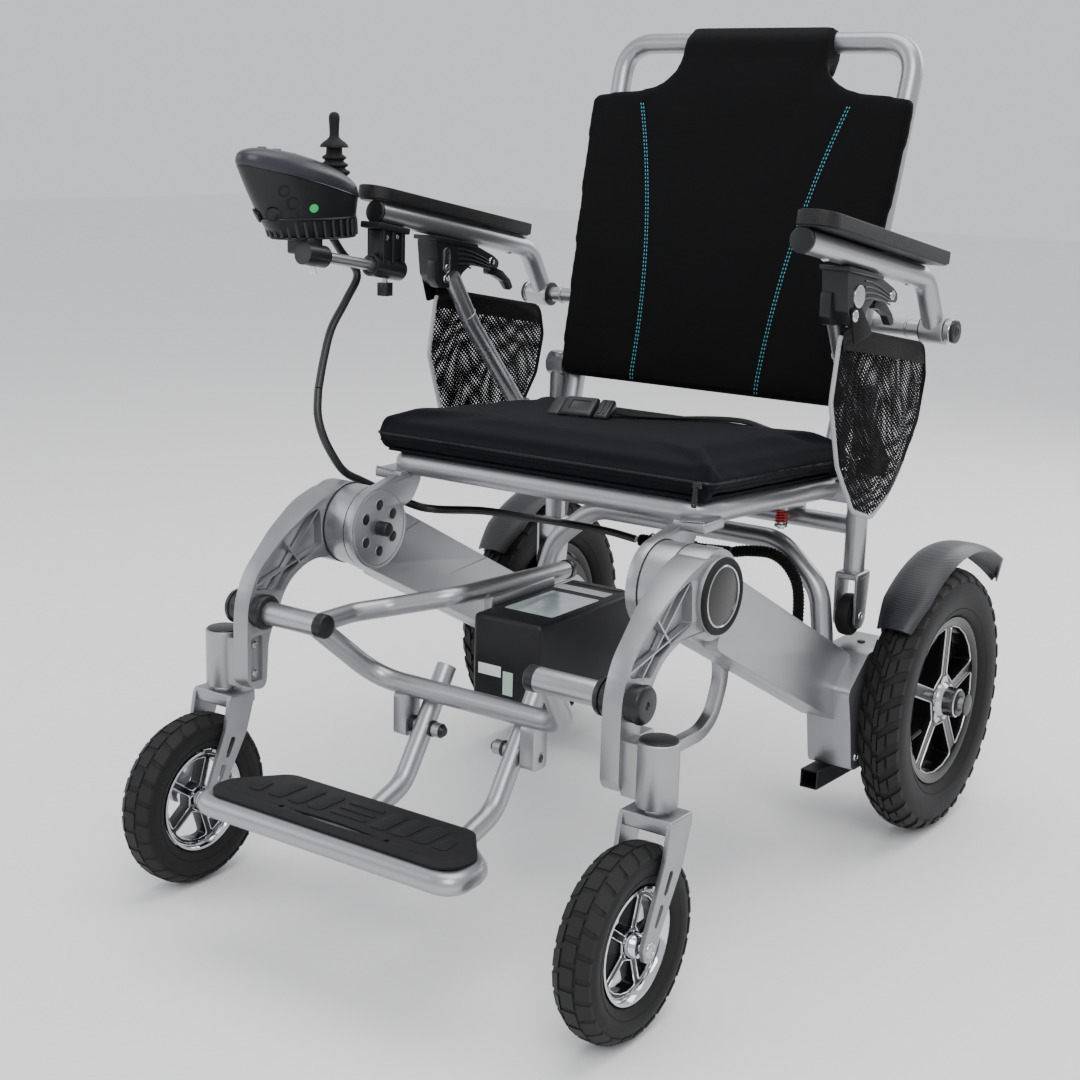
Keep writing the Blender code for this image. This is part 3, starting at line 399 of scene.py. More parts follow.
def rounded(points, radius, steps=5, closed=False):
    """A polyline whose corners are turned into short curves of about the radius."""
    corners = [Vector(p) for p in points]
    path = []
    for i, corner in enumerate(corners):
        if not closed and i in (0, len(corners) - 1):
            path.append(corner)
            continue
        before = corners[i - 1] - corner
        after = corners[(i + 1) % len(corners)] - corner
        half = before.angle(after) / 2
        reach = min(radius / tan(half), before.length * 0.48, after.length * 0.48)
        start = corner + before.normalized() * reach
        end = corner + after.normalized() * reach
        for k in range(steps + 1):
            t = k / steps
            path.append(start * (1 - t) ** 2 + corner * 2 * t * (1 - t) + end * t ** 2)
    return path


def tube(points, radius, bend=0.0, steps=6, closed=False, sides=5):
    """A round bar along the points."""
    data = bpy.data.curves.new("tube", "CURVE")
    data.dimensions = "3D"
    data.bevel_depth = radius
    data.bevel_resolution = sides
    data.use_fill_caps = True
    path = rounded(points, bend, steps, closed) if bend else [Vector(p) for p in points]
    spline = data.splines.new("POLY")
    spline.points.add(len(path) - 1)
    for point, place in zip(spline.points, path):
        point.co = (*place, 1.0)
    spline.use_cyclic_u = closed
    return baked(link("tube", data))


def flat(outlines, low, high, plane="side", bevel=0.0, segments=2):
    """A flat outline, with holes for those after the first. In plane "side" it is drawn as
    (y, z) and runs from x = low to high; in plane "floor" as (x, y) from z = low to high."""
    low, high = min(low, high), max(low, high)
    data = bpy.data.curves.new("flat", "CURVE")
    data.dimensions = "2D"
    data.fill_mode = "BOTH"
    data.extrude = (high - low) / 2
    for outline in outlines:
        spline = data.splines.new("POLY")
        spline.points.add(len(outline) - 1)
        for point, (u, v) in zip(spline.points, outline):
            point.co = (u, v, 0.0, 1.0)
        spline.use_cyclic_u = True
    guide = link("flat", data)
    middle = (low + high) / 2
    if plane == "side":
        guide.location = (middle, 0, 0)
        guide.rotation_euler = (pi / 2, 0, pi / 2)
    else:
        guide.location = (0, 0, middle)
    bpy.context.view_layer.update()
    made = baked(guide)
    return softened(made, bevel, segments) if bevel else made


def polar(centre, radius, angle):
    """A flat point at an angle round a centre."""
    return (centre[0] + radius * cos(angle), centre[1] + radius * sin(angle))


def circle(centre, radius, steps):
    return [polar(centre, radius, 2 * pi * k / steps) for k in range(steps)]


def smooth_outline(points, radius, steps=5):
    """A closed flat outline with rounded corners."""
    return [(p.x, p.y) for p in rounded([(u, v, 0) for u, v in points], radius, steps, True)]


def slab(points, radius, steps, low, high, plane="side", bevel=0.0, segments=2):
    """A flat piece whose outline has rounded corners."""
    return flat([smooth_outline(points, radius, steps)], low, high, plane, bevel, segments)


def block(low, high, bevel=0.001, segments=3):
    """An upright block between any two opposite corners, with rounded edges."""
    (ax, bx), (ay, by), (az, bz) = (sorted(pair) for pair in zip(low, high))
    verts = [(x, y, z) for z in (az, bz) for y in (ay, by) for x in (ax, bx)]
    faces = [(0, 2, 3, 1), (4, 5, 7, 6), (0, 1, 5, 4), (2, 6, 7, 3), (0, 4, 6, 2), (1, 3, 7, 5)]
    return softened(from_faces("block", verts, faces), bevel, segments)


def turned(profile, steps=40, closed=False):
    """A profile of (radius, height) points turned about local Z."""
    mesh = bpy.data.meshes.new("turned")
    edges = [(i, i + 1) for i in range(len(profile) - 1)]
    if closed:
        edges.append((len(profile) - 1, 0))
    mesh.from_pydata([(r, 0.0, h) for r, h in profile], edges, [])
    made = link("turned", mesh)
    screw = made.modifiers.new("screw", "SCREW")
    screw.steps = screw.render_steps = steps
    screw.use_merge_vertices = True
    screw.merge_threshold = 1e-06
    return baked(made)


def aimed(piece, place, direction):
    """Moves a piece made about local Z to a place, with Z turned to the direction."""
    turn = Vector(direction).to_track_quat("Z", "Y").to_matrix().to_4x4()
    piece.data.transform(Matrix.Translation(place) @ turn)
    return piece


def disc(place, direction, radius, thickness, bevel=0.0008, steps=28):
    """A short round piece whose outer edge is rounded. place is the middle of its near face."""
    bevel = min(bevel, thickness * 0.48, radius * 0.45)
    corner = [(radius - bevel + bevel * sin(a), thickness - bevel + bevel * cos(a))
        for a in (0, radians(30), radians(60), radians(90))]
    return aimed(turned([(0, thickness)] + corner + [(radius, 0), (0, 0)], steps), place, direction)


def rod(start, end, radius, steps=24, bevel=0.0005):
    start, end = Vector(start), Vector(end)
    return disc(start, end - start, radius, (end - start).length, bevel, steps)


def ring(place, direction, radius, wire, steps=40):
    """A round wire bent to a circle about the direction."""
    profile = [(radius + wire * cos(2 * pi * k / 8), wire * sin(2 * pi * k / 8)) for k in range(8)]
    return aimed(turned(profile, steps, True), place, direction)


def bolt(place, direction, radius=0.0042, height=0.003):
    """A button-head screw with a hexagon socket."""
    head = [(radius * sin(a), height * cos(a)) for a in (radians(60), radians(75), radians(90))]
    socket = radius * 0.45
    profile = [(0, height * 0.35), (socket, height * 0.35), (socket * 1.1, height * 0.62)]
    return aimed(turned(profile + head + [(0, 0)], 24), place, direction)


def tilted(piece, angle, centre):
    """Turns a piece about an X axis through centre, given as (y, z)."""
    place = Vector((0, *centre))
    piece.data.transform(Matrix.Translation(place) @ Matrix.Rotation(angle, 4, "X")
        @ Matrix.Translation(-place))
    return piece


def carved(base, others):
    """The base with the others cut out of it."""
    for other in others:
        change = base.modifiers.new("boolean", "BOOLEAN")
        change.operation = "DIFFERENCE"
        change.object = other
        change.solver = "EXACT"
    made = baked(base)
    for other in others:
        bpy.data.objects.remove(other)
    return made


def joined(parts):
    """Several pieces as one, each keeping its own material."""
    bpy.ops.object.select_all(action="DESELECT")
    for part in parts:
        part.select_set(True)
    bpy.context.view_layer.objects.active = parts[0]
    bpy.ops.object.join()
    return parts[0]


def looks(piece, material, smooth=40):
    """Gives a piece its only material, named as in LOOKS, and its shading."""
    piece.data.materials.clear()
    piece.data.materials.append(finish(material))
    piece.data.shade_smooth()
    piece.data.set_sharp_from_angle(angle=radians(smooth))
    return piece


def painted(material, *pieces):
    """Pieces that all have one material."""
    return [looks(piece, material) for piece in pieces]


def put(piece, name, body, material=None, replaces=(), smooth=40):
    """Names a piece, moves it into the row frame and makes it ride on its CAD body."""
    if material:
        looks(piece, material, smooth)
    piece.name = piece.data.name = name
    piece.data.transform(Matrix.Translation((0, DATUM_Y, 0)))
    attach(piece, body)
    if replaces:
        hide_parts(*replaces)
    return piece


def carried(nodes, material, bevel=0.0):
    """CAD nodes whose shape is right get a finished material and rounded edges."""
    for node in nodes:
        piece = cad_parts[node]
        piece.data.materials.clear()
        piece.data.materials.append(finish(material))
        if bevel:
            weld = piece.modifiers.new("weld", "WELD")
            weld.merge_threshold = 1e-05
            edges = piece.modifiers.new("bevel", "BEVEL")
            edges.width = bevel
            edges.segments = 2
            edges.limit_method = "ANGLE"
            edges.angle_limit = radians(50)
            edges.harden_normals = True


def both(stem):
    return [stem + "_left", stem + "_right"]


# ---- frame ------------------------------------------------------------------------------------
def carried_frame():
    carried(["joystick_rod"], "silver_paint")
    carried(both("anti_tip_tube"), "satin_black", 0.0012)
    carried(["lock_pin"] + both("clutch_lever"), "bright_steel", 0.0004)
    carried(["seat_panel"], "seat_fabric")
    carried(["joystick_gimbal"], "black_plastic", 0.0004)


def whole(parts, name, body, nodes):
    """Parts of one silver weldment, shown in place of its CAD nodes."""
    put(joined([looks(part, "silver_paint") for part in parts]), name, body, replaces=nodes)


def pipe(points, radius, bend):
    return tube(points, radius, bend=bend, steps=10, sides=8)


def seat_rails():
    """The seat loop with its hub plates, the flat hanging bar and the backrest stops."""
    y, z = SEAT_FRONT
    y_rear = 0.186
    z_rear = z + (y_rear - y) * tan(SEAT_PITCH)
    parts = [pipe([(-0.2, y_rear, z_rear), (-0.2, y, z), (0.2, y, z), (0.2, y_rear, z_rear)], TUBE,
        0.032)]
    for side in (1, -1):
        front, rear, top = HUB[0] + 0.0355, HUB[0] + 0.0785, 0.432
        arc = [polar(HUB, 0.0455, radians(a)) for a in range(100, 391, 5)]
        neck = rounded([(HUB[0] + 0.042, 0.396, 0), (HUB[0] + 0.058, 0.402, 0), (rear, top, 0),
            (front, top, 0)], 0.02, 5)
        parts.append(flat([arc + [(p.x, p.y) for p in neck]], side * 0.176, side * 0.1885,
            bevel=0.0014))
        parts.append(block((side * 0.177, front + 0.001, 0.4256),
            (side * 0.2145, rear - 0.001, 0.4364), 0.0022))
        parts.append(block((side * 0.19, 0.148, 0.41), (side * 0.2345, 0.1915, 0.435), 0.0022))
        parts.append(block((side * 0.2236, 0.148, 0.43), (side * 0.2345, 0.172, 0.462), 0.0022))
    middle = rounded([(-0.168, 0.335, 0), (-0.078, 0.311, 0), (-0.053, 0.288, 0),
        (-0.045, 0.246, 0), (-0.062, 0.207, 0), (-0.088, 0.1935, 0), (-0.155, 0.1935, 0)], 0.05, 8)
    middle = [Vector((p.x, p.y)) for p in middle]
    edges = []
    for k, point in enumerate(middle):
        run = (middle[min(k + 1, len(middle) - 1)] - middle[max(k - 1, 0)]).normalized()
        half = 0.0095 - 0.003 * k / (len(middle) - 1)
        edges.append((point + Vector((-run.y, run.x)) * half,
            point - Vector((-run.y, run.x)) * half))
    parts.append(flat([[tuple(a) for a, _ in edges] + [tuple(b) for _, b in reversed(edges)]],
        0.1765, 0.188, bevel=0.0022))
    whole(parts, "seat_weldment", "seat_frame", ["seat_rail"])


def uprights():
    """Rear uprights with their cross tube, trolley forks and the lock's bracket."""
    parts = [rod((-UPRIGHT_X, 0.208, 0.372), (UPRIGHT_X, 0.208, 0.372), 0.011, 40)]
    for side in (1, -1):
        x = side * UPRIGHT_X
        parts.append(pipe([(x, BACK_PIVOT[0], 0.535), (x, 0.205, 0.43), (x, 0.205, 0.315)], TUBE,
            0.2))
        parts.append(rod((side * 0.2002, *BACK_PIVOT), (side * 0.2255, *BACK_PIVOT), 0.016, 44,
            0.0012))
        parts.append(block((x - 0.0145, 0.186, 0.312), (x + 0.0145, 0.22, 0.32), 0.0022))
        for face in (-1, 1):
            inner = x + face * 0.011
            cheek = smooth_outline([(0.186, 0.319), (0.22, 0.319), (0.213, 0.26), (0.205, 0.253),
                (0.195, 0.253), (0.187, 0.26)], 0.006, 4)
            parts.append(flat([cheek], inner, inner + face * 0.0032, bevel=0.0008))
    x, y = LOCK
    plate = smooth_outline([(x - 0.015, y - 0.016), (x + 0.015, y - 0.016), (x + 0.015, 0.212),
        (x - 0.015, 0.212)], 0.004, 3)
    parts.append(flat([plate, circle(LOCK, 0.0046, 24)], 0.388, 0.393, "floor", bevel=0.0008))
    parts.append(block((x - 0.014, 0.204, 0.374), (x + 0.014, 0.211, 0.39), 0.001))
    whole(parts, "upright_weldment", "seat_frame", ["rear_upright_frame"])


def crossbars():
    """Pivot stubs, the dropped cross tube, the battery rail and the footrest's lugs."""
    y, z = -0.25, 0.232
    tip = (PIVOT[0] + 0.003, PIVOT[1] - 0.002)
    parts = [pipe([(-0.15, *tip), (-0.124, y, z), (0.124, y, z), (0.15, *tip)], 0.0115, 0.045),
        pipe([(-0.147, -0.318, 0.303), (-0.147, -0.265, 0.303), (-0.124, -0.229, 0.306),
        (-0.06, -0.199, 0.323), (-0.06, 0.012, 0.312)], 0.0105, 0.035),
        block((-0.06, -0.15, 0.295), (-0.0465, -0.03, 0.314), 0.002)]
    for side in (1, -1):
        parts.append(rod((side * 0.137, *PIVOT), (side * 0.2125, *PIVOT), 0.0125, 40))
        lug = smooth_outline([(-0.262, 0.225), (-0.238, 0.225), (-0.238, 0.178), (-0.262, 0.178)],
            0.006, 4)
        parts.append(flat([lug], side * 0.075, side * 0.092, bevel=0.0022))
    whole(parts, "crossbar_weldment", "front_frame", ["front_crossbar"])


def rear_legs():
    """Box-section beams from the hubs to the motor brackets, the motors and the axles."""
    for side in (1, -1):
        beam = [(-0.188, 0.415), (-0.1, 0.37), (0.029, 0.302), (0.167, 0.23), (0.141, 0.156),
            (0.041, 0.209), (-0.112, 0.289), (-0.205, 0.338)]
        outer = [(-0.122, 0.382), (0.167, 0.23), (0.141, 0.156), (-0.112, 0.289), (-0.152, 0.311),
            (-0.139, 0.345)]
        bracket = [(0.12, 0.2), (0.167, 0.236), (0.245, 0.236), (0.3, 0.195), (0.316, 0.159),
            (0.3, 0.125), (0.27, 0.0972), (0.14, 0.1008), (0.13, 0.16)]
        parts = [slab(beam, 0.006, 3, side * 0.1895, side * 0.218, bevel=0.003, segments=3),
            slab(outer, 0.012, 4, side * 0.217, side * 0.235, bevel=0.0045, segments=4),
            slab(bracket, 0.012, 4, side * 0.2005, side * 0.2555, bevel=0.0028, segments=3),
            rod((side * 0.1892, *HUB), (side * 0.2182, *HUB), 0.0445, 72),
            rod((side * 0.11, *REAR_AXLE), (side * 0.205, *REAR_AXLE), 0.038, 64, 0.0024),
            rod((side * 0.25, *REAR_AXLE), (side * 0.33, *REAR_AXLE), 0.008, 32)]
        whole(parts, "rear_leg_weldment_" + SIDES[side], "rear_frame", ["rear_leg_" + SIDES[side]])
    arch = pipe([(-0.202, 0.157, 0.228), (-0.199, 0.162, 0.244), (-0.187, 0.171, 0.3),
        (-0.13, 0.176, 0.348), (0.13, 0.176, 0.348), (0.187, 0.171, 0.3), (0.199, 0.162, 0.244),
        (0.202, 0.157, 0.228)], TUBE, 0.06)
    whole([arch], "arch_tube", "rear_frame", ["rear_arch"])


def back_tubes():
    """Bent top bar with its posts, the cross tube of the arms, and the two arm tubes."""
    foot = (BACK_PIVOT[0] - 0.018, BACK_PIVOT[1] - 0.065)
    parts = [pipe([(-0.1845, *foot), (-0.198, *BACK_TOP), (0.198, *BACK_TOP), (0.1845, *foot)],
        TUBE, 0.042), rod((-0.2905, *ARM_PIVOT), (0.2905, *ARM_PIVOT), 0.0095, 36)]
    for side in (1, -1):
        parts.append(rod((side * 0.2865, *ARM_PIVOT), (side * 0.2945, *ARM_PIVOT), 0.0125, 40))
        parts.append(rod((side * 0.174, *BACK_PIVOT), (side * 0.1985, *BACK_PIVOT), 0.0129, 40))
    whole(parts, "back_weldment", "backrest", ["back_frame"])
    for side in (1, -1):
        x = side * ARM_X
        arm = [pipe([(x, *ARM_FRONT), (x, *ARM_BEND), (x, *ARM_PIVOT)], TUBE, 0.042),
            rod((side * 0.2585, *ARM_PIVOT), (side * 0.2856, *ARM_PIVOT), 0.0155, 44)]
        whole(arm, "arm_weldment_" + SIDES[side], "armrest_" + SIDES[side],
            ["arm_tube_" + SIDES[side]])


def weld_bead(points, radius=0.0016, name="weld", body="seat_frame"):
    """A run of overlapping small scales along a joint."""
    path = rounded(points, 0.004, 3)
    beads = []
    for a, b in zip(path, path[1:]):
        count = max(1, round((b - a).length / (radius * 1.3)))
        beads += [a.lerp(b, k / count) for k in range(count)]
    verts, faces = [], []
    for centre in beads:
        base = len(verts)
        wobble = 1 + 0.18 * noise.noise(centre * 400)
        for lat in (-1, 0, 1):
            for k in range(8):
                angle = 2 * pi * k / 8
                span = radius * wobble * (1.0 if lat == 0 else 0.6)
                verts.append(centre + Vector((span * cos(angle), span * sin(angle),
                    lat * radius * 0.65)))
        for lat in (0, 1):
            for k in range(8):
                n = (k + 1) % 8
                faces.append((base + lat * 8 + k, base + lat * 8 + n, base + lat * 8 + 8 + n,
                    base + lat * 8 + 8 + k))
        faces += [tuple(base + k for k in reversed(range(8))),
            tuple((base + 16 + k for k in range(8)))]
    return put(from_faces(name, verts, faces), name, body, "weld_silver", smooth=80)


def hubs():
    """Caps, seams and the knob plates of the folding hubs, and the round pivot knobs."""
    for side in (1, -1):
        tag = SIDES[side]
        out = (side, 0, 0)
        for name, x in (("hub_seam_outer_", 0.2186), ("hub_seam_inner_", 0.1888)):
            put(ring((side * x, *HUB), out, 0.045, 0.0008), name + tag, "seat_frame", "satin_black")
        face = side * 0.2565
        put(aimed(turned([(0.0312, 0.0), (0.0378, 0.0), (0.0386, 0.0016), (0.0376, 0.0042),
            (0.035, 0.0052), (0.0322, 0.0044), (0.0312, 0.003)], 56, True), (face, *HUB), out),
            "hub_ring_" + tag, "front_frame", "rubber")
        put(aimed(turned([(0.029, 0.0), (0.0312, 0.0), (0.0312, 0.0036), (0.0302, 0.0042),
            (0.029, 0.0034)], 56, True), (face, *HUB), out), "hub_trim_" + tag, "front_frame",
            "bright_steel")
        put(disc((face, *HUB), out, 0.0291, 0.0028, 0.0003, 56), "hub_badge_" + tag, "front_frame",
            "bronze_disc")
        knob = [(0.0, 0.0052), (0.0032, 0.0052), (0.0038, 0.0066), (0.014, 0.007), (0.0175, 0.0058),
            (0.019, 0.0034), (0.019, 0.0), (0.0, 0.0)]
        put(aimed(turned(knob, 48), (side * 0.256, *PIVOT), out), "pivot_knob_outer_" + tag,
            "front_frame", "satin_black")
        put(aimed(turned(knob, 48), (side * 0.2185, *PIVOT), (-side, 0, 0)),
            "pivot_knob_inner_" + tag, "front_frame", "satin_black")
        parts = [looks(disc((side * 0.1762, *polar(HUB, 0.026, a)), (-side, 0, 0), 0.0062, 0.0006,
            0.0002, 20), "satin_black") for a in (radians(d) for d in (30, 90, 150, 210, 270, 330))]
        parts += [looks(ring((side * 0.1758, *polar(HUB, 0.026, a)), out, 0.0064, 0.0006, 20),
            "silver_paint") for a in (radians(d) for d in (30, 90, 150, 210, 270, 330))]
        parts.append(looks(ring((side * 0.1762, *HUB), out, 0.0425, 0.0007), "silver_paint"))
        parts.append(looks(rod((side * 0.1765, *HUB), (side * 0.161, *HUB), 0.008, 24, 0.003),
            "satin_black"))
        put(joined(parts), "hub_plate_detail_" + tag, "seat_frame")
        weld_bead([(side * 0.18, -0.15, 0.4335), (side * 0.195, -0.1525, 0.4365),
            (side * 0.214, -0.15, 0.4372)], name="weld_hub_front_" + tag)
        weld_bead([(side * 0.18, -0.113, 0.4345), (side * 0.212, -0.113, 0.4368)],
            name="weld_hub_rear_" + tag)


ARM_OUTLINE = [(-0.2, 0.422), (-0.245, 0.408), (-0.29, 0.38), (-0.33, 0.344), (-0.343, 0.312),
    (-0.3445, 0.285), (-0.3445, 0.22), (-0.316, 0.213), (-0.312, 0.27), (-0.3, 0.292),
    (-0.282, 0.331), (-0.243, 0.351), (-0.2, 0.334)]


def bar_between(a, b, width, x_low, x_high):
    """A flat rib from point a to point b, both (y, z)."""
    a, b = Vector(a), Vector(b)
    across = Vector((-(b - a).y, (b - a).x)).normalized() * width / 2
    return flat([[tuple(a + across), tuple(b + across), tuple(b - across), tuple(a - across)]],
        x_low, x_high)


def thickened(piece, side, middle=0.2361, hub_share=1.65, near=0.05, run=0.09):
    """Widens a leg's piece towards the hub, where the casting is as thick as the drum."""
    for vertex in piece.data.vertices:
        reach = Vector((vertex.co.y - HUB[0], vertex.co.z - HUB[1])).length
        t = min(1.0, max(0.0, (reach - near) / run))
        share = hub_share + (1 - hub_share) * t * t * (3 - 2 * t)
        vertex.co.x = side * middle + (vertex.co.x - side * middle) * share
    return piece


def front_legs():
    """Cast legs: a rounded bar with a ribbed recess on both faces, and the caster housing."""
    recess = [(-0.238, 0.4045), (-0.262, 0.3945), (-0.288, 0.3775), (-0.311, 0.357),
        (-0.327, 0.339), (-0.333, 0.327), (-0.304, 0.322), (-0.296, 0.319), (-0.282, 0.337),
        (-0.264, 0.348), (-0.245, 0.3555), (-0.235, 0.36)]
    for side in (1, -1):
        tag = SIDES[side]
        outline = ARM_OUTLINE + [(-0.17, 0.36), (-0.17, 0.4)]
        inner, outer = 0.2257, 0.2465
        arm = slab(outline, 0.11, 6, side * inner, side * outer)
        pocket = 0.0068
        cutters = [slab(recess, 0.006, 3, side * (outer - pocket), side * 0.26),
            slab(recess, 0.006, 3, side * 0.21, side * (inner + pocket))]
        if side == -1:
            slot = smooth_outline([(-0.339, 0.276), (-0.339, 0.226), (-0.322, 0.226),
                (-0.322, 0.276)], 0.003, 2)
            cutters.append(flat([slot], side * 0.21, side * (inner + 0.005)))
        arm = softened(carved(arm, cutters), 0.0009, 2, 50)
        parts = [looks(thickened(arm, side), "cast_silver")]
        for low, high in ((inner, inner + pocket), (outer - pocket, outer)):
            ribs = [((-0.237, 0.401), (-0.308, 0.322)), ((-0.329, 0.331), (-0.237, 0.359)),
                ((-0.29, 0.376), (-0.266, 0.346))]
            for a, b in ribs:
                middle_low, middle_high = low + 0.0012, high - 0.0012
                rib = bar_between(a, b, 0.002, side * middle_low, side * middle_high)
                parts.append(looks(thickened(rib, side), "cast_silver"))
        for start, end in ((inner + 0.001, 0.2195), (outer - 0.001, 0.256)):
            parts.append(looks(rod((side * start, *PIVOT), (side * end, *PIVOT), 0.0182, 48,
                0.0008), "satin_black"))
        drum = aimed(turned([(0.0, 0.0331), (0.0448, 0.0331), (0.0455, 0.0322), (0.0455, 0.0008),
            (0.0448, 0.0), (0.0, 0.0)], 64), (side * 0.2189, *HUB), (side, 0, 0))
        parts += [looks(drum, "cast_silver"), looks(rod((side * 0.2515, *HUB),
            (side * 0.2566, *HUB), 0.038, 56), "cast_silver")]
        housing = turned([(0.0, 0.0625), (0.0186, 0.0625), (0.0198, 0.0615), (0.0198, 0.001),
            (0.019, 0.0), (0.0, 0.0)], 40)
        housing.data.transform(Matrix.Translation((side * STEM[0], STEM[1], 0.2121)))
        web = block((side * 0.2455, STEM[1] - 0.0122, 0.2165),
            (side * 0.266, STEM[1] + 0.0118, 0.27), 0.0012)
        parts += [looks(housing, "cast_silver"), looks(web, "cast_silver")]
        if side == -1:
            for z in (0.266, 0.234):
                parts.append(looks(bolt((side * 0.2302, -0.3305, z), (-side, 0, 0), 0.0044, 0.003),
                    "bright_steel"))
        else:
            bar = carved(block((0.2065, -0.313, 0.238), (0.2265, -0.252, 0.254), 0.0012),
                [block((0.2, -0.34, 0.2415), (0.217, -0.24, 0.2505), 0.0004)])
            parts.append(looks(bar, "silver_paint"))
        cap = turned([(0.0, 0.0024), (0.015, 0.0022), (0.018, 0.0012), (0.0186, 0.0), (0.0, 0.0)],
            40)
        cap.data.transform(Matrix.Translation((side * STEM[0], STEM[1], 0.2745)))
        parts.append(looks(cap, "satin_black"))
        put(joined(parts), "front_leg_cast_" + tag, "front_frame", replaces=["front_leg_" + tag])


def crossbar_trim():
    """Black end caps, lug holes and the small rubber stops on the front cross tube."""
    parts = []
    for side in (1, -1):
        parts.append(looks(rod((side * 0.1405, *PIVOT), (side * 0.129, *PIVOT), 0.013, 28, 0.003),
            "satin_black"))
        for x, way in ((0.092, 1), (0.075, -1)):
            parts.append(looks(ring((side * x, *FOOT_PIVOT), (side * way, 0, 0), 0.0052, 0.0009,
                24), "silver_paint"))
            parts.append(looks(disc((side * x, *FOOT_PIVOT), (side * way, 0, 0), 0.005, 0.0004,
                0.0001), "satin_black"))
    parts.append(looks(aimed(turned([(0.0, 0.014), (0.0075, 0.0125), (0.0113, 0.008), (0.0116, 0.0),
        (0.0, 0.0)], 28), (-0.06, 0.009, 0.3122), (0, 1, -0.05)), "satin_black"))
    put(joined(parts), "crossbar_caps", "front_frame")
    parts = []
    for side in (1, -1):
        x = side * FOOT_TUBE_X
        inner = (x - side * 0.011, *FOOT_PIVOT)
        parts += [looks(rod(inner, (x - side * 0.015, *FOOT_PIVOT), 0.0088, 28, 0.001),
            "satin_black"), looks(aimed(turned([(0.0, 0.015), (0.005, 0.0138), (0.0078, 0.01),
            (0.008, 0.007), (0.0062, 0.003), (0.004, 0.001), (0.004, -0.002), (0.0, -0.002)], 28),
            (x - side * 0.014, *FOOT_PIVOT), (-side, 0, 0)), "satin_black"),
            looks(rod((x + side * 0.0105, *FOOT_PIVOT), (x + side * 0.014, *FOOT_PIVOT), 0.0098, 28,
            0.001), "satin_black")]
        tip, axis = Vector((x, -0.212, 0.248)), Vector((0, 0.037, 0.058)).normalized()
        parts.append(looks(ring(tip, axis, 0.01, 0.001, 28), "silver_paint"))
        parts.append(looks(disc(tip, axis, 0.0088, 0.0005, 0.0001), "cast_silver"))
    put(joined(parts), "footrest_knobs", "footrest")


# ---- casters and rear wheels ------------------------------------------------------------------
def crown_radius(w, radius, half):
    """The tyre's outer radius at a distance w from its middle plane."""
    u = min(1.0, abs(w) / half)
    return radius - 0.44 * half * u ** 2.6


def tread_block(verts, faces, centre, radius, half, sheet, depth, shrink=0.86):
    """One raised block. sheet is four corners (w, angle) in order round the block."""
    base = len(verts)
    middle_w = sum(w for w, _ in sheet) / 4
    middle_a = sum(a for _, a in sheet) / 4
    for level in (0, 1):
        for w, a in sheet:
            if level:
                w, a = middle_w + (w - middle_w) * shrink, middle_a + (a - middle_a) * shrink
            r = crown_radius(w, radius, half) - (0 if level else depth)
            verts.append((centre[0] + w, centre[1] + r * cos(a), centre[2] + r * sin(a)))
    faces.append(tuple(base + 4 + k for k in range(4)))
    for k in range(4):
        n = (k + 1) % 4
        faces.append((base + k, base + n, base + 4 + n, base + 4 + k))
    faces.append(tuple(base + k for k in reversed(range(4))))


def wheel_tyre(name, body, centre, radius, inner, half, pitches, rear):
    """Carcass with ridged side walls, and blocks of tread all round."""
    depth = 0.003 if rear else 0.0016
    carcass = radius - depth
    profile = [(inner, -half * 0.6), (inner, half * 0.6)]
    wall = [(inner + 0.004, half * 0.8), (inner + 0.01, half * 0.93), (inner + 0.0112, half * 0.9),
        (inner + 0.0124, half * 0.95), ((inner + radius) / 2, half * 0.995),
        (radius - half * 0.78, half * 0.985), (radius - half * 0.62, half * 0.93)]
    top = [(crown_radius(w, carcass, half), w)
        for w in (half * f for f in (0.9, 0.78, 0.6, 0.4, 0.2, 0.0, -0.2, -0.4, -0.6, -0.78, -0.9))]
    profile += wall + top + [(r, -w) for r, w in reversed(wall)]
    shell = aimed(turned(profile, 72 if rear else 56, True), centre, (1, 0, 0))
    verts, faces = [], []
    step = 2 * pi / pitches
    for k in range(pitches):
        a = k * step
        if rear:
            for way in (1, -1):
                shift = 0 if way == 1 else step / 2
                lead = step * 0.26
                tread_block(verts, faces, centre, radius, half,
                    [(way * half * 0.55, a + shift), (way * half * 0.97, a + shift - lead),
                    (way * half * 0.97, a + shift - lead + step * 0.62),
                    (way * half * 0.55, a + shift + step * 0.62)], depth * 1.4)
                tread_block(verts, faces, centre, radius, half,
                    [(way * half * 0.14, a + shift + step * 0.3), (way * half * 0.5, a + shift),
                    (way * half * 0.5, a + shift + step * 0.72),
                    (way * half * 0.14, a + shift + step * 1.02)], depth * 1.3)
            tread_block(verts, faces, centre, radius, half,
                [(-half * 0.11, a + step * 0.1), (half * 0.11, a), (half * 0.11, a + step * 0.8),
                (-half * 0.11, a + step * 0.9)], depth * 1.3)
        else:
            for low, high, shift in ((-0.95, -0.42, 0.0), (-0.34, 0.34, 0.5), (0.42, 0.95, 0.0)):
                start = a + step * shift
                lead = step * 0.16 * (1 if low > 0 else -1 if high < 0 else 0)
                tread_block(verts, faces, centre, radius, half,
                    [(half * low, start), (half * high, start + lead),
                    (half * high, start + lead + step * 0.8), (half * low, start + step * 0.8)],
                    depth * 1.6, 0.93)
    blocks = looks(from_faces("tread", verts, faces), "tyre_rubber", 30)
    tyre = joined([looks(shell, "tyre_rubber", 50), blocks])
    put(tyre, name + "_tread", body, replaces=[name])


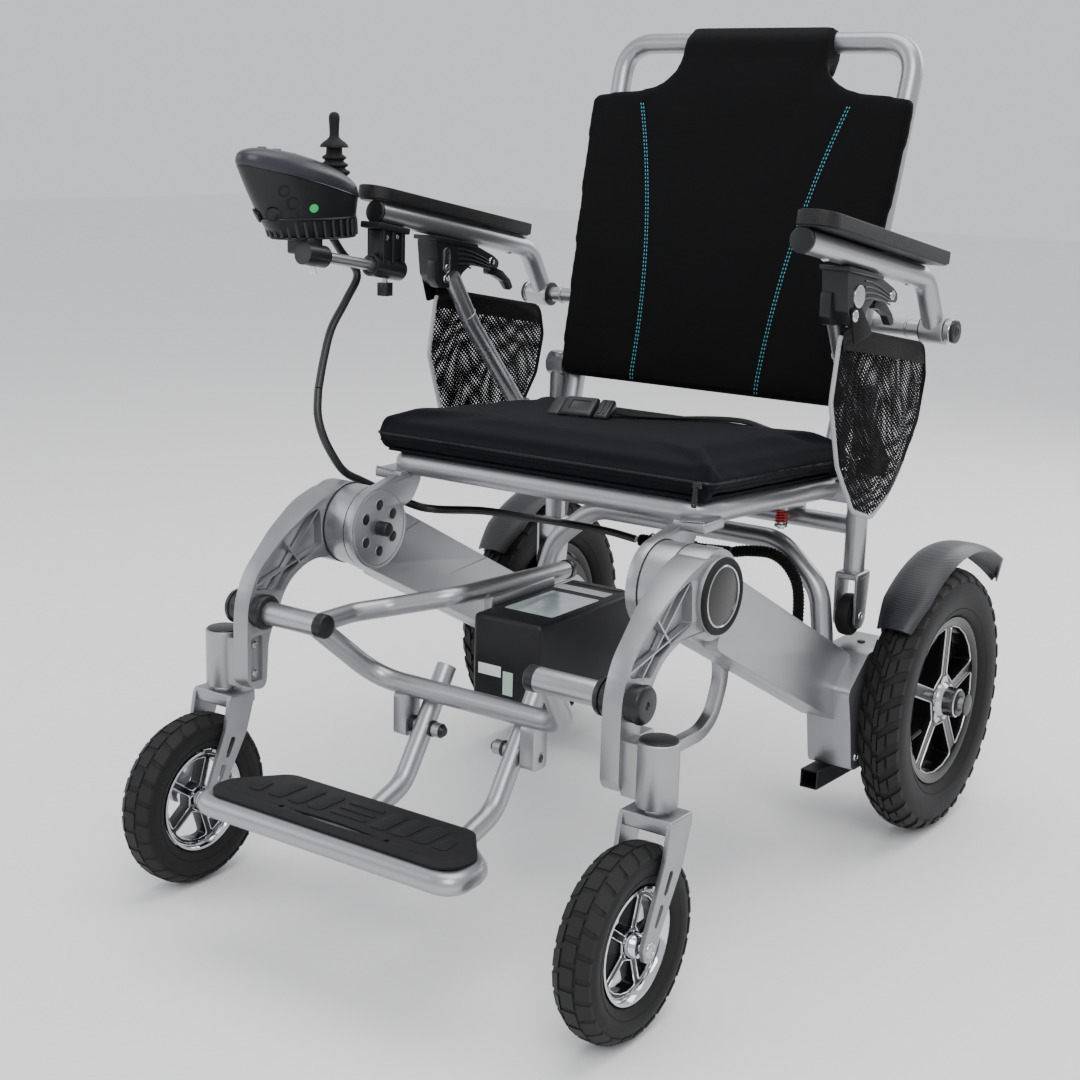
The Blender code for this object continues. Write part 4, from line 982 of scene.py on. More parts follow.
def window_outline(centre, index, inner, outer, gap, corner, turn=0.0):
    """The opening between two of five spokes, with rounded corners."""
    middle = 2 * pi * (index + 0.5) / 5 + turn
    points = []
    for radius, signs in ((outer, (-1, -0.5, 0, 0.5, 1)), (inner, (1, -1))):
        half = pi / 5 - gap / radius
        for sign in signs:
            angle = middle + sign * half
            points.append(polar(centre, radius, angle))
    return smooth_outline(points, corner, 3)


def rear_wheels():
    for side in (1, -1):
        tag = SIDES[side]
        body = "rear_wheel_" + tag
        centre = (side * REAR_X, *REAR_AXLE)
        wheel_tyre("rear_tyre_" + tag, body, centre, REAR_RADIUS, 0.1016, 0.025, 34, True)
        turn = radians(14)
        windows = [window_outline(REAR_AXLE, k, 0.033, 0.0885, 0.0085, 0.005, turn)
            for k in range(5)]
        x_face = side * (REAR_X + 0.0125)
        plate = flat([circle(REAR_AXLE, 0.0925, 72), circle(REAR_AXLE, 0.009, 24)] + windows,
            side * (REAR_X - 0.008), x_face, bevel=0.0012)
        barrel = turned([(0.1008, -0.0165), (0.1008, -0.0145), (0.0965, -0.012), (0.093, 0.0),
            (0.0925, 0.0128), (0.0975, 0.0148), (0.1008, 0.0152), (0.1008, 0.0168), (0.096, 0.0166),
            (0.09, 0.014), (0.0895, 0.0), (0.09, -0.014), (0.096, -0.0168)], 72, True)
        parts = [looks(plate, "gloss_black"), looks(aimed(barrel, centre, (side, 0, 0)),
            "gloss_black")]
        for k in range(5):
            edge = window_outline(REAR_AXLE, k, 0.0318, 0.0898, 0.0073, 0.005, turn)
            parts.append(looks(tube([(x_face + side * 0.0001, y, z) for y, z in edge], 0.001,
                closed=True, sides=2), "machined"))
        star = []
        for k in range(5):
            spoke = turn + 2 * pi * k / 5
            star += [polar(REAR_AXLE, 0.03, spoke - 0.2), polar(REAR_AXLE, 0.03, spoke + 0.2),
                polar(REAR_AXLE, 0.0215, spoke + pi / 5)]
        hub_profile = [(0.0092, 0.0348), (0.0158, 0.0348), (0.0172, 0.0336), (0.0176, 0.02),
            (0.023, 0.014), (0.025, -0.016), (0.02, -0.0225), (0.0092, -0.0225)]
        parts += [looks(flat([smooth_outline(star, 0.006, 3), circle(REAR_AXLE, 0.0092, 24)],
            x_face, x_face + side * 0.0022, bevel=0.0006), "machined"),
            looks(aimed(turned(hub_profile, 48, True), centre, (side, 0, 0)), "machined"),
            looks(aimed(turned([(0.0092, 0.0349), (0.0152, 0.0349), (0.0152, 0.0362),
            (0.0092, 0.0366)], 40, True), centre, (side, 0, 0)), "satin_black"),
            looks(aimed(turned([(0.025, -0.0235), (0.081, -0.0235), (0.085, -0.02), (0.085, -0.009),
            (0.025, -0.009)], 56, True), centre, (side, 0, 0)), "satin_black")]
        valve = Vector((0, cos(radians(200)), sin(radians(200))))
        stem = Vector(centre) + valve * 0.083 + Vector((side * 0.01, 0, 0))
        parts.append(looks(rod(stem, stem - valve * 0.018 + Vector((side * 0.004, 0, 0)), 0.0024,
            16), "satin_black"))
        put(joined(parts), "rear_rim_cast_" + tag, body, replaces=["rear_rim_" + tag])
        put(disc((side * 0.33, *REAR_AXLE), (side, 0, 0), 0.0128, 0.0016, 0.0008, 32),
            "rear_axle_cap_" + tag, "rear_frame", "satin_black")


def casters():
    for side in (1, -1):
        tag = SIDES[side]
        body = "caster_wheel_" + tag
        x = side * STEM[0]
        centre = (x, *CASTER_AXLE)
        wheel_tyre("caster_tyre_" + tag, body, centre, CASTER_RADIUS, 0.0562, 0.021, 26, False)
        parts = []
        rim = turned([(0.0556, -0.013), (0.0556, -0.015), (0.053, -0.0152), (0.0505, -0.013),
            (0.048, -0.007), (0.048, 0.007), (0.0505, 0.013), (0.053, 0.0152), (0.0556, 0.015),
            (0.0556, 0.013), (0.052, 0.006), (0.052, -0.006)], 64, True)
        parts.append(looks(aimed(rim, centre, (1, 0, 0)), "chrome"))
        windows = [window_outline(CASTER_AXLE, k, 0.0165, 0.0455, 0.0042, 0.003) for k in range(5)]
        parts.append(looks(flat([circle(CASTER_AXLE, 0.049, 60), circle(CASTER_AXLE, 0.0058, 20)]
            + windows, x - 0.0068, x + 0.0068, bevel=0.0012), "gloss_black"))
        for way in (1, -1):
            for k in range(5):
                edge = window_outline(CASTER_AXLE, k, 0.016, 0.0462, 0.0034, 0.003)
                parts.append(looks(tube([(x + way * 0.0069, y, z) for y, z in edge], 0.0008,
                    closed=True, sides=2), "chrome"))
        parts.append(looks(aimed(turned([(0.0058, -0.018), (0.0098, -0.018), (0.0112, -0.0165),
            (0.014, -0.0075), (0.014, 0.0075), (0.0112, 0.0165), (0.0098, 0.018), (0.0058, 0.018)],
            40, True), centre, (1, 0, 0)), "chrome"))
        put(joined(parts), "caster_rim_cast_" + tag, body, replaces=["caster_rim_" + tag])
        caster_fork(side, x)


def caster_fork(side, x):
    """Pressed fork with two slots in each leg, axle bolts and the stem's washer."""
    y = STEM[1]
    tag = SIDES[side]
    leg = [(y - 0.0195, 0.206), (y - 0.027, 0.17), (-0.3875, 0.098), (-0.384, 0.085),
        (-0.375, 0.0815), (-0.366, 0.085), (-0.361, 0.1), (y + 0.005, 0.162), (y + 0.0195, 0.206)]
    slots = []
    for low, high in ((0.16, 0.44), (0.54, 0.8)):
        top, foot = Vector((y - 0.0085, 0.172)), Vector((-0.3745, 0.098))
        a, b = top.lerp(foot, low), top.lerp(foot, high)
        way = (b - a).normalized()
        side_step = Vector((-way.y, way.x)) * 0.0036
        slots.append(smooth_outline([tuple(a + side_step), tuple(b + side_step * 0.8),
            tuple(b - side_step * 0.8), tuple(a - side_step)], 0.003, 3))
    parts = []
    for face in (-1, 1):
        parts.append(looks(flat([smooth_outline(leg, 0.006, 3)] + slots, x + face * 0.0235,
            x + face * 0.0284, bevel=0.001), "cast_silver"))
        parts.append(looks(bolt((x + face * 0.0284, *CASTER_AXLE), (face, 0, 0), 0.0078, 0.0036),
            "bright_steel"))
    crown = block((x - 0.0279, y - 0.0193, 0.1925), (x + 0.0279, y + 0.0193, 0.2072), 0.002)
    parts += [looks(crown, "cast_silver"), looks(rod((x, y, 0.2068), (x, y, 0.2118), 0.012, 32),
        "bright_steel"), looks(rod((x - 0.029, *CASTER_AXLE), (x + 0.029, *CASTER_AXLE), 0.0048,
        20), "bright_steel"), looks(bolt((x, y, 0.1926), (0, 0, -1), 0.007, 0.004), "bright_steel")]
    put(joined(parts), "caster_fork_cast_" + tag, "caster_fork_" + tag,
        replaces=["caster_fork_" + tag])


def fenders():
    """A crowned guard whose ends narrow, with a rolled lip along both edges."""
    centre, radius = Vector((0.3155, 0.1376)), 0.2047
    rows, columns = 40, 14
    for side in (1, -1):
        verts, faces = [], []
        for i in range(rows + 1):
            u = i / rows
            angle = radians(139 - 98 * u)
            taper = min(1.0, 0.72 + u / 0.12 * 0.28) * min(1.0, 0.1 + (1 - u) / 0.2 * 0.9)
            for j in range(columns + 1):
                v = j / columns * 2 - 1
                x = 0.2851 + v * 0.0285 * taper
                drop = 0.006 * abs(v) ** 3.2
                r = radius - 0.0004 - drop
                verts.append((side * x, centre.x + r * cos(angle), centre.y + r * sin(angle)))
        for i in range(rows):
            for j in range(columns):
                a = i * (columns + 1) + j
                faces.append((a, a + 1, a + columns + 2, a + columns + 1))
        shell = from_faces("fender", verts, faces)
        skin = shell.modifiers.new("skin", "SOLIDIFY")
        skin.thickness = 0.0022
        skin.offset = 0
        shell = looks(baked(shell), "carbon", 60)
        stay = slab([(0.225, 0.2), (0.275, 0.206), (0.306, 0.336), (0.279, 0.335)], 0.006, 3,
            side * 0.2564, side * 0.259, bevel=0.0006)
        screws = [looks(bolt((side * 0.259, py, pz), (side, 0, 0), 0.004, 0.0012), "bright_steel")
            for py, pz in ((0.246, 0.216), (0.262, 0.22))]
        tag = SIDES[side]
        put(joined([shell, looks(stay, "satin_black")] + screws), "fender_shell_" + tag,
            "rear_frame", replaces=["fender_" + tag])


# ---- rear frame -------------------------------------------------------------------------------
def rear_leg_trim():
    """Bolts, cable glands, motor cover and weld runs on the rear legs."""
    for side in (1, -1):
        tag = SIDES[side]
        out = (side, 0, 0)
        parts = []
        for y, z in ((0.182, 0.216), (0.15, 0.116), (0.232, 0.113)):
            parts.append(looks(bolt((side * 0.2555, y, z), out, 0.0048, 0.003), "bright_steel"))
        parts += painted("satin_black", disc((side * 0.235, -0.108, 0.364), out, 0.0036, 0.0006,
            0.0002), disc((side * 0.228, 0.205, 0.2361), (0, 0, 1), 0.0046, 0.0016, 0.0006))
        cover = turned([(0.0, 0.0075), (0.024, 0.007), (0.031, 0.005), (0.0365, 0.0), (0.0, 0.0)],
            48)
        parts.append(looks(aimed(cover, (side * 0.1102, *REAR_AXLE), (-side, 0, 0)), "satin_black"))
        for k in range(4):
            a = radians(45 + 90 * k)
            parts.append(looks(bolt((side * 0.106, *polar(REAR_AXLE, 0.0275, a)), (-side, 0, 0),
                0.0028, 0.0022), "bright_steel"))
        for x in (0.118, 0.15, 0.178, 0.196):
            parts.append(looks(ring((side * x, *REAR_AXLE), out, 0.038, 0.0007, 48), "satin_black"))
        put(joined(parts), "rear_leg_detail_" + tag, "rear_frame")
        weld_bead([(side * 0.23, 0.168, 0.2315), (side * 0.212, 0.169, 0.232)], 0.0018,
            "weld_bracket_" + tag, "rear_frame")
        weld_bead([(side * 0.19, 0.15, 0.24), (side * 0.2, 0.1475, 0.241),
            (side * 0.21, 0.15, 0.24)], 0.0018, "weld_arch_" + tag, "rear_frame")


def lock_and_trolley():
    """Red coil spring on the fold lock, trolley wheels and their bolts, and lug trim."""
    x, y = LOCK
    turns, height, low = 5.5, 0.018, 0.3688
    path = []
    for k in range(int(turns * 16) + 1):
        a = 2 * pi * k / 16
        path.append((x + 0.007 * cos(a), y + 0.007 * sin(a), low + height * k / (turns * 16)))
    spring = put(tube(path, 0.001, sides=2), "lock_coil", "seat_frame", "red_paint", smooth=80,
        replaces=["lock_spring"])
    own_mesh(spring)
    for side in (1, -1):
        tag = SIDES[side]
        centre = (side * UPRIGHT_X, 0.2, 0.268)
        wheel = turned([(0.0, 0.01), (0.005, 0.01), (0.0058, 0.0088), (0.015, 0.0085),
            (0.0165, 0.0074), (0.0215, 0.008), (0.0243, 0.0058), (0.025, 0.0), (0.0243, -0.0058),
            (0.0215, -0.008), (0.0165, -0.0074), (0.015, -0.0085), (0.0058, -0.0088),
            (0.005, -0.01), (0.0, -0.01)], 40)
        put(aimed(wheel, centre, (1, 0, 0)), "trolley_tyre_" + tag, "trolley_wheel_" + tag,
            "rubber", replaces=["trolley_wheel_" + tag])
        parts = [looks(bolt((centre[0] + way * 0.014, *centre[1:]), (way, 0, 0), 0.0046, 0.0026),
            "bright_steel") for way in (1, -1)]
        parts.append(looks(bolt((side * 0.2255, *BACK_PIVOT), (side, 0, 0), 0.007, 0.0034),
            "bright_steel"))
        parts.append(looks(ring((side * UPRIGHT_X, 0.2075, 0.5345), (0, 0.02, 1), 0.0115, 0.0012,
            32), "silver_paint"))
        for z in (0.418, 0.428):
            parts.append(looks(block((side * 0.234, 0.156, z - 0.003),
                (side * 0.235, 0.166, z + 0.003), 0.0003, 1), "satin_black"))
        put(joined(parts), "upright_detail_" + tag, "seat_frame")
        put(looks(rod((side * 0.236, 0.1587, 0.4512), (side * 0.263, 0.1587, 0.4512), 0.0063, 28,
            0.001), "rubber"), "stop_sleeve_" + tag, "seat_frame")


# ---- battery ----------------------------------------------------------------------------------
def battery():
    """Black pack with a lid seam, rounded edges, a clear blank label on top and two small ones."""
    body = block((-0.045, -0.187, 0.212), (0.045, 0.003, 0.3055), 0.006, 4)
    seam = tube([(-0.0452, -0.15, 0.305), (-0.0452, 0.0, 0.305)], 0.0004, sides=1)
    parts = [looks(body, "black_plastic"), looks(seam, "satin_black")]
    top = smooth_outline([(-0.031, -0.15), (0.033, -0.15), (0.033, -0.058), (-0.031, -0.058)],
        0.003, 2)
    film = "film_label"
    parts += [looks(flat([top], 0.3056, 0.3059, "floor"), film),
        looks(slab([(-0.04, -0.044), (0.03, -0.044), (0.03, -0.026), (-0.04, -0.026)], 0.002, 2,
        0.3056, 0.3059, "floor"), "pale_label")]
    for x_low, x_high, z_low, z_high, material in ((-0.036, -0.006, 0.24, 0.252, "pale_label"),
            (-0.003, 0.01, 0.222, 0.248, "green_label")):
        parts.append(looks(block((x_low, -0.1876, z_low), (x_high, -0.1866, z_high), 0.0002, 1),
            material))
    grip = smooth_outline([(-0.03, -0.012), (0.03, -0.012), (0.03, -0.002), (-0.03, -0.002)], 0.004,
        3)
    parts.append(looks(flat([grip], 0.3055, 0.306, "floor"), "satin_black"))
    put(joined(parts), "battery_case", "battery", replaces=["battery_pack"])


# ---- footrest ---------------------------------------------------------------------------------
def footrest():
    """The rimmed plate on its two bent tubes, with rounder bends than the CAD's."""
    parts = []
    for side in (1, -1):
        x = side * FOOT_TUBE_X
        parts.append(tube([(x, -0.212, 0.248), (x, *FOOT_PIVOT), (x, -0.285, 0.135),
            (x, -0.335, 0.119), (x, -0.44, 0.141)], 0.011, bend=0.045, steps=9, sides=7))
        parts.append(rod((side * 0.036, *FOOT_PIVOT), (side * 0.0745, *FOOT_PIVOT), 0.008, 32))
    corners = [(-0.16, -0.479), (0.16, -0.479), (0.157, -0.436), (0.106, -0.397), (-0.106, -0.397),
        (-0.157, -0.436)]
    rim = rounded([(x, y, 0.15) for x, y in corners], 0.03, 9, True)
    parts.append(tube(rim, 0.011, closed=True, sides=7))
    parts.append(flat([[(p.x, p.y) for p in rim]], 0.1455, 0.16, "floor"))
    put(joined([looks(part, "silver_paint") for part in parts]), "footrest_smooth", "footrest",
        replaces=["footrest_frame"])


def mat_outline(inset=0.0):
    front, rear = -0.479, -0.39
    half = 0.158 - inset
    return [(-half + 0.016, front + inset), (half - 0.016, front + inset), (half, front + 0.016),
        (half, front + 0.04), (0.118 - inset * 0.4, rear - inset),
        (-0.118 + inset * 0.4, rear - inset), (-half, front + 0.04), (-half, front + 0.016)]


def foot_mat():
    """Ribbed rubber mat with raised generic pads and a lens-shaped slot at its front middle."""
    low, high = 0.1612, 0.164
    lens = [(-0.056 + 0.112 * k / 12, -0.46 - 0.004 * sin(pi * k / 12)) for k in range(13)]
    lens += [(0.056 - 0.112 * k / 12, -0.46 + 0.004 * sin(pi * k / 12)) for k in range(1, 12)]
    holes = [circle((side * 0.067, -0.4602), 0.003, 16) for side in (1, -1)]
    mat = flat([smooth_outline(mat_outline(), 0.024, 7), lens] + holes, low, high, "floor",
        bevel=0.0009)
    parts = [looks(mat, "rubber")]
    for side in (1, -1):
        for k in range(4):
            x = side * (0.04 + 0.026 * k)
            pad = smooth_outline([(x - 0.01, -0.446), (x + 0.01, -0.446), (x + 0.01, -0.404),
                (x - 0.01, -0.404)], 0.007, 4)
            if k == 3:
                pad = smooth_outline([(x - 0.01, -0.446), (x + 0.008, -0.446), (x + 0.004, -0.422),
                    (x - 0.01, -0.414)], 0.005, 4)
            parts.append(looks(flat([pad], high - 0.0002, high + 0.0007, "floor", bevel=0.0003),
                "rubber"))
    for y in (-0.438, -0.424, -0.41):
        bar = smooth_outline([(-0.022, y - 0.0035), (0.022, y - 0.0035), (0.022, y + 0.0035),
            (-0.022, y + 0.0035)], 0.003, 3)
        parts.append(looks(flat([bar], high - 0.0002, high + 0.0007, "floor", bevel=0.0003),
            "rubber"))
    put(joined(parts), "foot_mat_ribbed", "footrest", replaces=["foot_mat"])
    slot_floor = flat([lens], low - 0.0003, low + 0.0004, "floor")
    put(slot_floor, "foot_slot_floor", "footrest", "silver_paint")


# ---- soft goods -------------------------------------------------------------------------------
LEAN_UP = Vector((0, sin(BACK_LEAN), cos(BACK_LEAN)))
LEAN_FORWARD = Vector((0, -cos(BACK_LEAN), sin(BACK_LEAN)))


def leaned(x, height, forward):
    """A point given by its place on the backrest: up the posts and out in front of them."""
    return Vector((x, *BACK_PIVOT)) + LEAN_UP * height + LEAN_FORWARD * forward


def swelled(piece, voxel, pressure, cap, pinned, smoothing=3):
    """Evens out the piece's mesh and fills it by cloth pressure, with its seams held.

    pinned(point) says which points a seam holds, and no point moves further than cap.
    """
    remesh = piece.modifiers.new("remesh", "REMESH")
    remesh.mode = "VOXEL"
    remesh.voxel_size = voxel
    soft = baked(piece)
    work = bmesh.new()
    work.from_mesh(soft.data)
    for _ in range(smoothing):
        bmesh.ops.smooth_vert(work, verts=work.verts, factor=0.5, use_axis_x=True, use_axis_y=True,
            use_axis_z=True)
    work.to_mesh(soft.data)
    work.free()
    rest = [v.co.copy() for v in soft.data.vertices]
    seam = soft.vertex_groups.new(name="seam")
    seam.add([i for i, place in enumerate(rest) if pinned(place)], 1.0, "REPLACE")
    cloth = soft.modifiers.new("cloth", "CLOTH")
    cloth.settings.quality = 5
    cloth.settings.mass = 0.3
    cloth.settings.tension_stiffness = cloth.settings.compression_stiffness = 12
    cloth.settings.bending_stiffness = 0.8
    cloth.settings.use_pressure = True
    cloth.settings.uniform_pressure_force = pressure
    cloth.settings.effector_weights.gravity = 0
    cloth.settings.vertex_group_mass = "seam"
    cloth.point_cache.frame_start, cloth.point_cache.frame_end = 1, 20
    for count in range(1, 21):
        bpy.context.scene.frame_set(count)
    view = bpy.context.evaluated_depsgraph_get()
    filled = [v.co.copy() for v in soft.evaluated_get(view).data.vertices]
    soft.modifiers.clear()
    soft.vertex_groups.clear()
    bpy.context.scene.frame_set(1)
    for vertex, start, end in zip(soft.data.vertices, rest, filled):
        move = end - start
        if move.length > cap:
            move = move.normalized() * cap
        vertex.co = start + move
    finer = soft.modifiers.new("subdivision", "SUBSURF")
    finer.levels = finer.render_levels = 1
    return baked(soft)


def surface_of(piece):
    return BVHTree.FromPolygons([v.co for v in piece.data.vertices],
        [tuple(p.vertices) for p in piece.data.polygons])


def laid_on(tree, starts, direction, lift):
    """The points where rays from the starts meet a surface, lifted off it."""
    way = Vector(direction).normalized()
    found = []
    for start in starts:
        place = tree.ray_cast(Vector(start), way)[0]
        if place:
            found.append(place - way * lift)
    return found


def stitches(path, length, gap, radius):
    """Dashes of thread along a path, each a small rounded bar."""
    verts, faces = [], []
    travelled, lengths = 0.0, [0.0]
    for a, b in zip(path, path[1:]):
        travelled += (b - a).length
        lengths.append(travelled)

    def along(distance):
        for k in range(1, len(path)):
            if lengths[k] >= distance:
                span = lengths[k] - lengths[k - 1]
                return path[k - 1].lerp(path[k], (distance - lengths[k - 1]) / max(span, 1e-09))
        return path[-1]
    distance = 0.0
    while distance + length < travelled:
        a, b = along(distance), along(distance + length)
        distance += length + gap
        way = (b - a).normalized()
        across = way.orthogonal().normalized()
        other = way.cross(across)
        base = len(verts)
        for place, share in ((a, 0.35), (a.lerp(b, 0.2), 1.0), (a.lerp(b, 0.8), 1.0), (b, 0.35)):
            for k in range(6):
                angle = 2 * pi * k / 6
                verts.append(place + (across * cos(angle) + other * sin(angle)) * radius * share)
        for row in range(3):
            for k in range(6):
                n = (k + 1) % 6
                faces.append((base + row * 6 + k, base + row * 6 + n, base + row * 6 + 6 + n,
                    base + row * 6 + 6 + k))
        faces += [tuple(base + k for k in reversed(range(6))),
            tuple((base + 18 + k for k in range(6)))]
    return from_faces("stitches", verts, faces)


def pad_half_outline():
    """Right half of the pad's outline, from the neck's top down, as (x, height up the posts)."""
    half = [(0.0975, 0.415), (0.0978, 0.398)]
    for k in range(9):
        a = radians(90) * k / 8
        half.append((0.162 - 0.064 * cos(a), 0.392 - 0.044 * sin(a)))
    half += [(0.202, 0.344)]
    half += [(0.2075 + 0.0105 * sin(radians(a)), 0.3335 + 0.0105 * cos(radians(a)))
        for a in (0, 30, 60, 90)]
    half += [(0.2155, 0.27), (0.2105, 0.2), (0.203, 0.1), (0.1975, 0.02), (0.1935, -0.01)]
    half += [(0.188, -0.0155)]
    return half


def back_pad():
    """Padded sling: swelled between its sewn edges, with four rows of teal stitching."""
    half = pad_half_outline()
    outline = half + [(-x, h) for x, h in reversed(half)]
    sheet = flat([outline], 0.016, 0.0305, "floor", bevel=0.0045, segments=2)
    neck = [(0.016, 0.38), (0.0305, 0.38), (0.03, 0.402), (0.0245, 0.419), (0.014, 0.43),
        (0.001, 0.4325), (-0.011, 0.4285), (-0.0168, 0.417), (-0.0168, 0.399), (-0.012, 0.381),
        (-0.005, 0.37), (0.0, 0.374)]
    band = slab(neck, 0.004, 3, -0.0975, 0.0975)
    turn = Matrix(((1, 0, 0, 0), (0, 0, 1, 0), (0, 1, 0, 0), (0, 0, 0, 1)))
    band.data.transform(turn)
    whole = joined([sheet, band])
    place = Matrix((Vector((1, 0, 0)), LEAN_UP, LEAN_FORWARD)).transposed().to_4x4()
    place.translation = (0, *BACK_PIVOT)
    whole.data.transform(place)
    back = place.inverted()

    def sewn(point):
        local = back @ point
        edge = min(abs(abs(local.x) - (0.193 + 0.062 * local.y)), abs(local.y + 0.0155))
        row = abs(abs(local.x) - stitch_x(local.y))
        return edge < 0.006 or local.y > 0.385 or (row < 0.0035 and local.y < 0.33)
    pad = swelled(whole, 0.0046, 4.0, 0.007, sewn, 8)
    tree = surface_of(pad)
    put(pad, "back_pad_cloth", "backrest", "stretch_fabric", replaces=["back_pad"],
        smooth=75)
    rows = []
    for side in (1, -1):
        for offset in (-0.0017, 0.0017):
            starts = [leaned(side * stitch_x(h) + offset, h, 0.08)
                for h in (-0.012 + 0.345 * k / 90 for k in range(91))]
            path = laid_on(tree, starts, -LEAN_FORWARD, 0.0003)
            rows.append(stitches(path, 0.003, 0.0018, 0.00055))
    put(joined([looks(row, "teal_thread", 70) for row in rows]), "back_pad_stitches", "backrest")
    hems = []
    inset = [(x - 0.0075, h) for x, h in half[14:]] + [(x, -0.0085) for x in (0.17, 0.08, 0.0)]
    for side in (1, -1):
        dense = rounded([(side * x, h, 0) for x, h in inset], 0.004, 3)
        starts = []
        for a, b in zip(dense, dense[1:]):
            count = max(1, round((b - a).length / 0.004))
            starts += [leaned(*a.lerp(b, k / count).xy, 0.08) for k in range(count)]
        path = laid_on(tree, starts, -LEAN_FORWARD, 0.0002)
        hems.append(looks(stitches(path, 0.0028, 0.0016, 0.00045), "stretch_fabric", 70))
    put(joined(hems), "back_pad_hem", "backrest")


def stitch_x(height):
    """How far the stitching lines are from the middle at a height up the posts."""
    share = min(1.0, max(0.0, (height + 0.015) / 0.35))
    return 0.086 + 0.056 * share ** 2.1


def on_seat(x, y, z):
    """A point drawn on a level seat, tilted with the rails."""
    turn = Matrix.Rotation(SEAT_PITCH, 4, "X")
    centre = Vector((0, *SEAT_FRONT))
    return centre + turn @ (Vector((x, y, z)) - centre)


def cushion():
    """Boxed cushion: crowned top, bulging sides, welted edges, a zip and its hanging pull."""
    y, z = SEAT_FRONT
    low, high = Vector((-0.218, y - 0.0215, z + 0.0125)), Vector((0.218, y + 0.296, z + 0.055))
    base = tilted(block(low, high, 0.01, 5), SEAT_PITCH, SEAT_FRONT)
    flat_turn = Matrix.Rotation(-SEAT_PITCH, 4, "X")
    centre = Vector((0, *SEAT_FRONT))

    def sewn(point):
        p = centre + flat_turn @ (point - centre)
        outside = max(abs(p.x) - high.x, low.y - p.y, p.y - high.y)
        return outside > -0.0045 and abs(p.z - z - 0.033) < 0.0032
    pillow = swelled(base, 0.0052, 4.5, 0.0075, sewn)
    tree = surface_of(pillow)
    put(pillow, "cushion_cloth", "seat_frame", "seat_fabric", replaces=["seat_cushion"],
        smooth=75)
    around = smooth_outline([(-0.218, low.y), (0.218, low.y), (0.218, high.y), (-0.218, high.y)],
        0.012, 6)
    perimeter = []
    for k, (ax, ay) in enumerate(around):
        bx, by = around[(k + 1) % len(around)]
        count = max(1, round(Vector((bx - ax, by - ay)).length / 0.005))
        perimeter += [(ax + (bx - ax) * i / count, ay + (by - ay) * i / count)
            for i in range(count)]

    def girdle(height, lift):
        ring_path = []
        for px, py in perimeter:
            inward = Vector((0, 0, 0))
            inward.x = -1 if px > high.x - 0.012 else 1 if px < low.x + 0.012 else 0
            inward.y = 1 if py < low.y + 0.012 else -1 if py > high.y - 0.012 else 0
            start = on_seat(px - inward.x * 0.05, py - inward.y * 0.05, height)
            turned_in = Matrix.Rotation(SEAT_PITCH, 4, "X") @ inward.normalized()
            place, _, _, _ = tree.ray_cast(start, turned_in)
            if place:
                ring_path.append(place - turned_in * lift)
        return ring_path
    trims = [looks(tube(girdle(z + 0.0245, 0.0002), 0.0011, closed=True, sides=2), "seat_fabric")]
    zip_line = girdle(z + 0.033, 0.0002)
    trims.append(looks(tube(zip_line, 0.0014, closed=True, sides=2), "satin_black"))
    trims.append(looks(stitches(zip_line, 0.0014, 0.0012, 0.0019), "gloss_black", 60))
    put(joined(trims), "cushion_seams", "seat_frame")
    corner = on_seat(0.217, low.y - 0.0035, z + 0.03)
    slider = block((-0.0045, -0.0022, -0.003), (0.0045, 0.0022, 0.003), 0.0008)
    slider.data.transform(Matrix.Translation(corner + Vector((-0.012, 0, 0.001))))
    pull = flat([smooth_outline([(-0.0022, 0.0), (0.0022, 0.0), (0.003, -0.02), (-0.003, -0.02)],
        0.001, 2), circle((0, -0.0165), 0.0013, 10)], -0.0006, 0.0006, "floor", bevel=0.0003)
    pull.data.transform(Matrix.Translation(corner + Vector((-0.012, -0.0034, -0.001)))
        @ Matrix.Rotation(radians(84), 4, "X"))
    put(joined([looks(slider, "satin_black"), looks(pull, "satin_black")]), "zip_pull",
        "seat_frame")
    return tree


def ribbon(path, ways, width, thickness):
    """A flat strap along a path. ways gives the across direction at each point."""
    verts, faces = [], []
    for k, (place, way) in enumerate(zip(path, ways)):
        forward = (path[min(k + 1, len(path) - 1)] - path[max(k - 1, 0)]).normalized()
        across = way.normalized()
        up = across.cross(forward).normalized()
        for a, b in ((-1, -1), (1, -1), (1, 1), (-1, 1)):
            verts.append(place + across * a * width / 2 + up * b * thickness / 2)
    for k in range(len(path) - 1):
        for i in range(4):
            n = (i + 1) % 4
            faces.append((k * 4 + i, k * 4 + n, k * 4 + 4 + n, k * 4 + 4 + i))
    last = (len(path) - 1) * 4
    faces += [(3, 2, 1, 0), (last, last + 1, last + 2, last + 3)]
    return softened(from_faces("ribbon", verts, faces), 0.0005, 2)


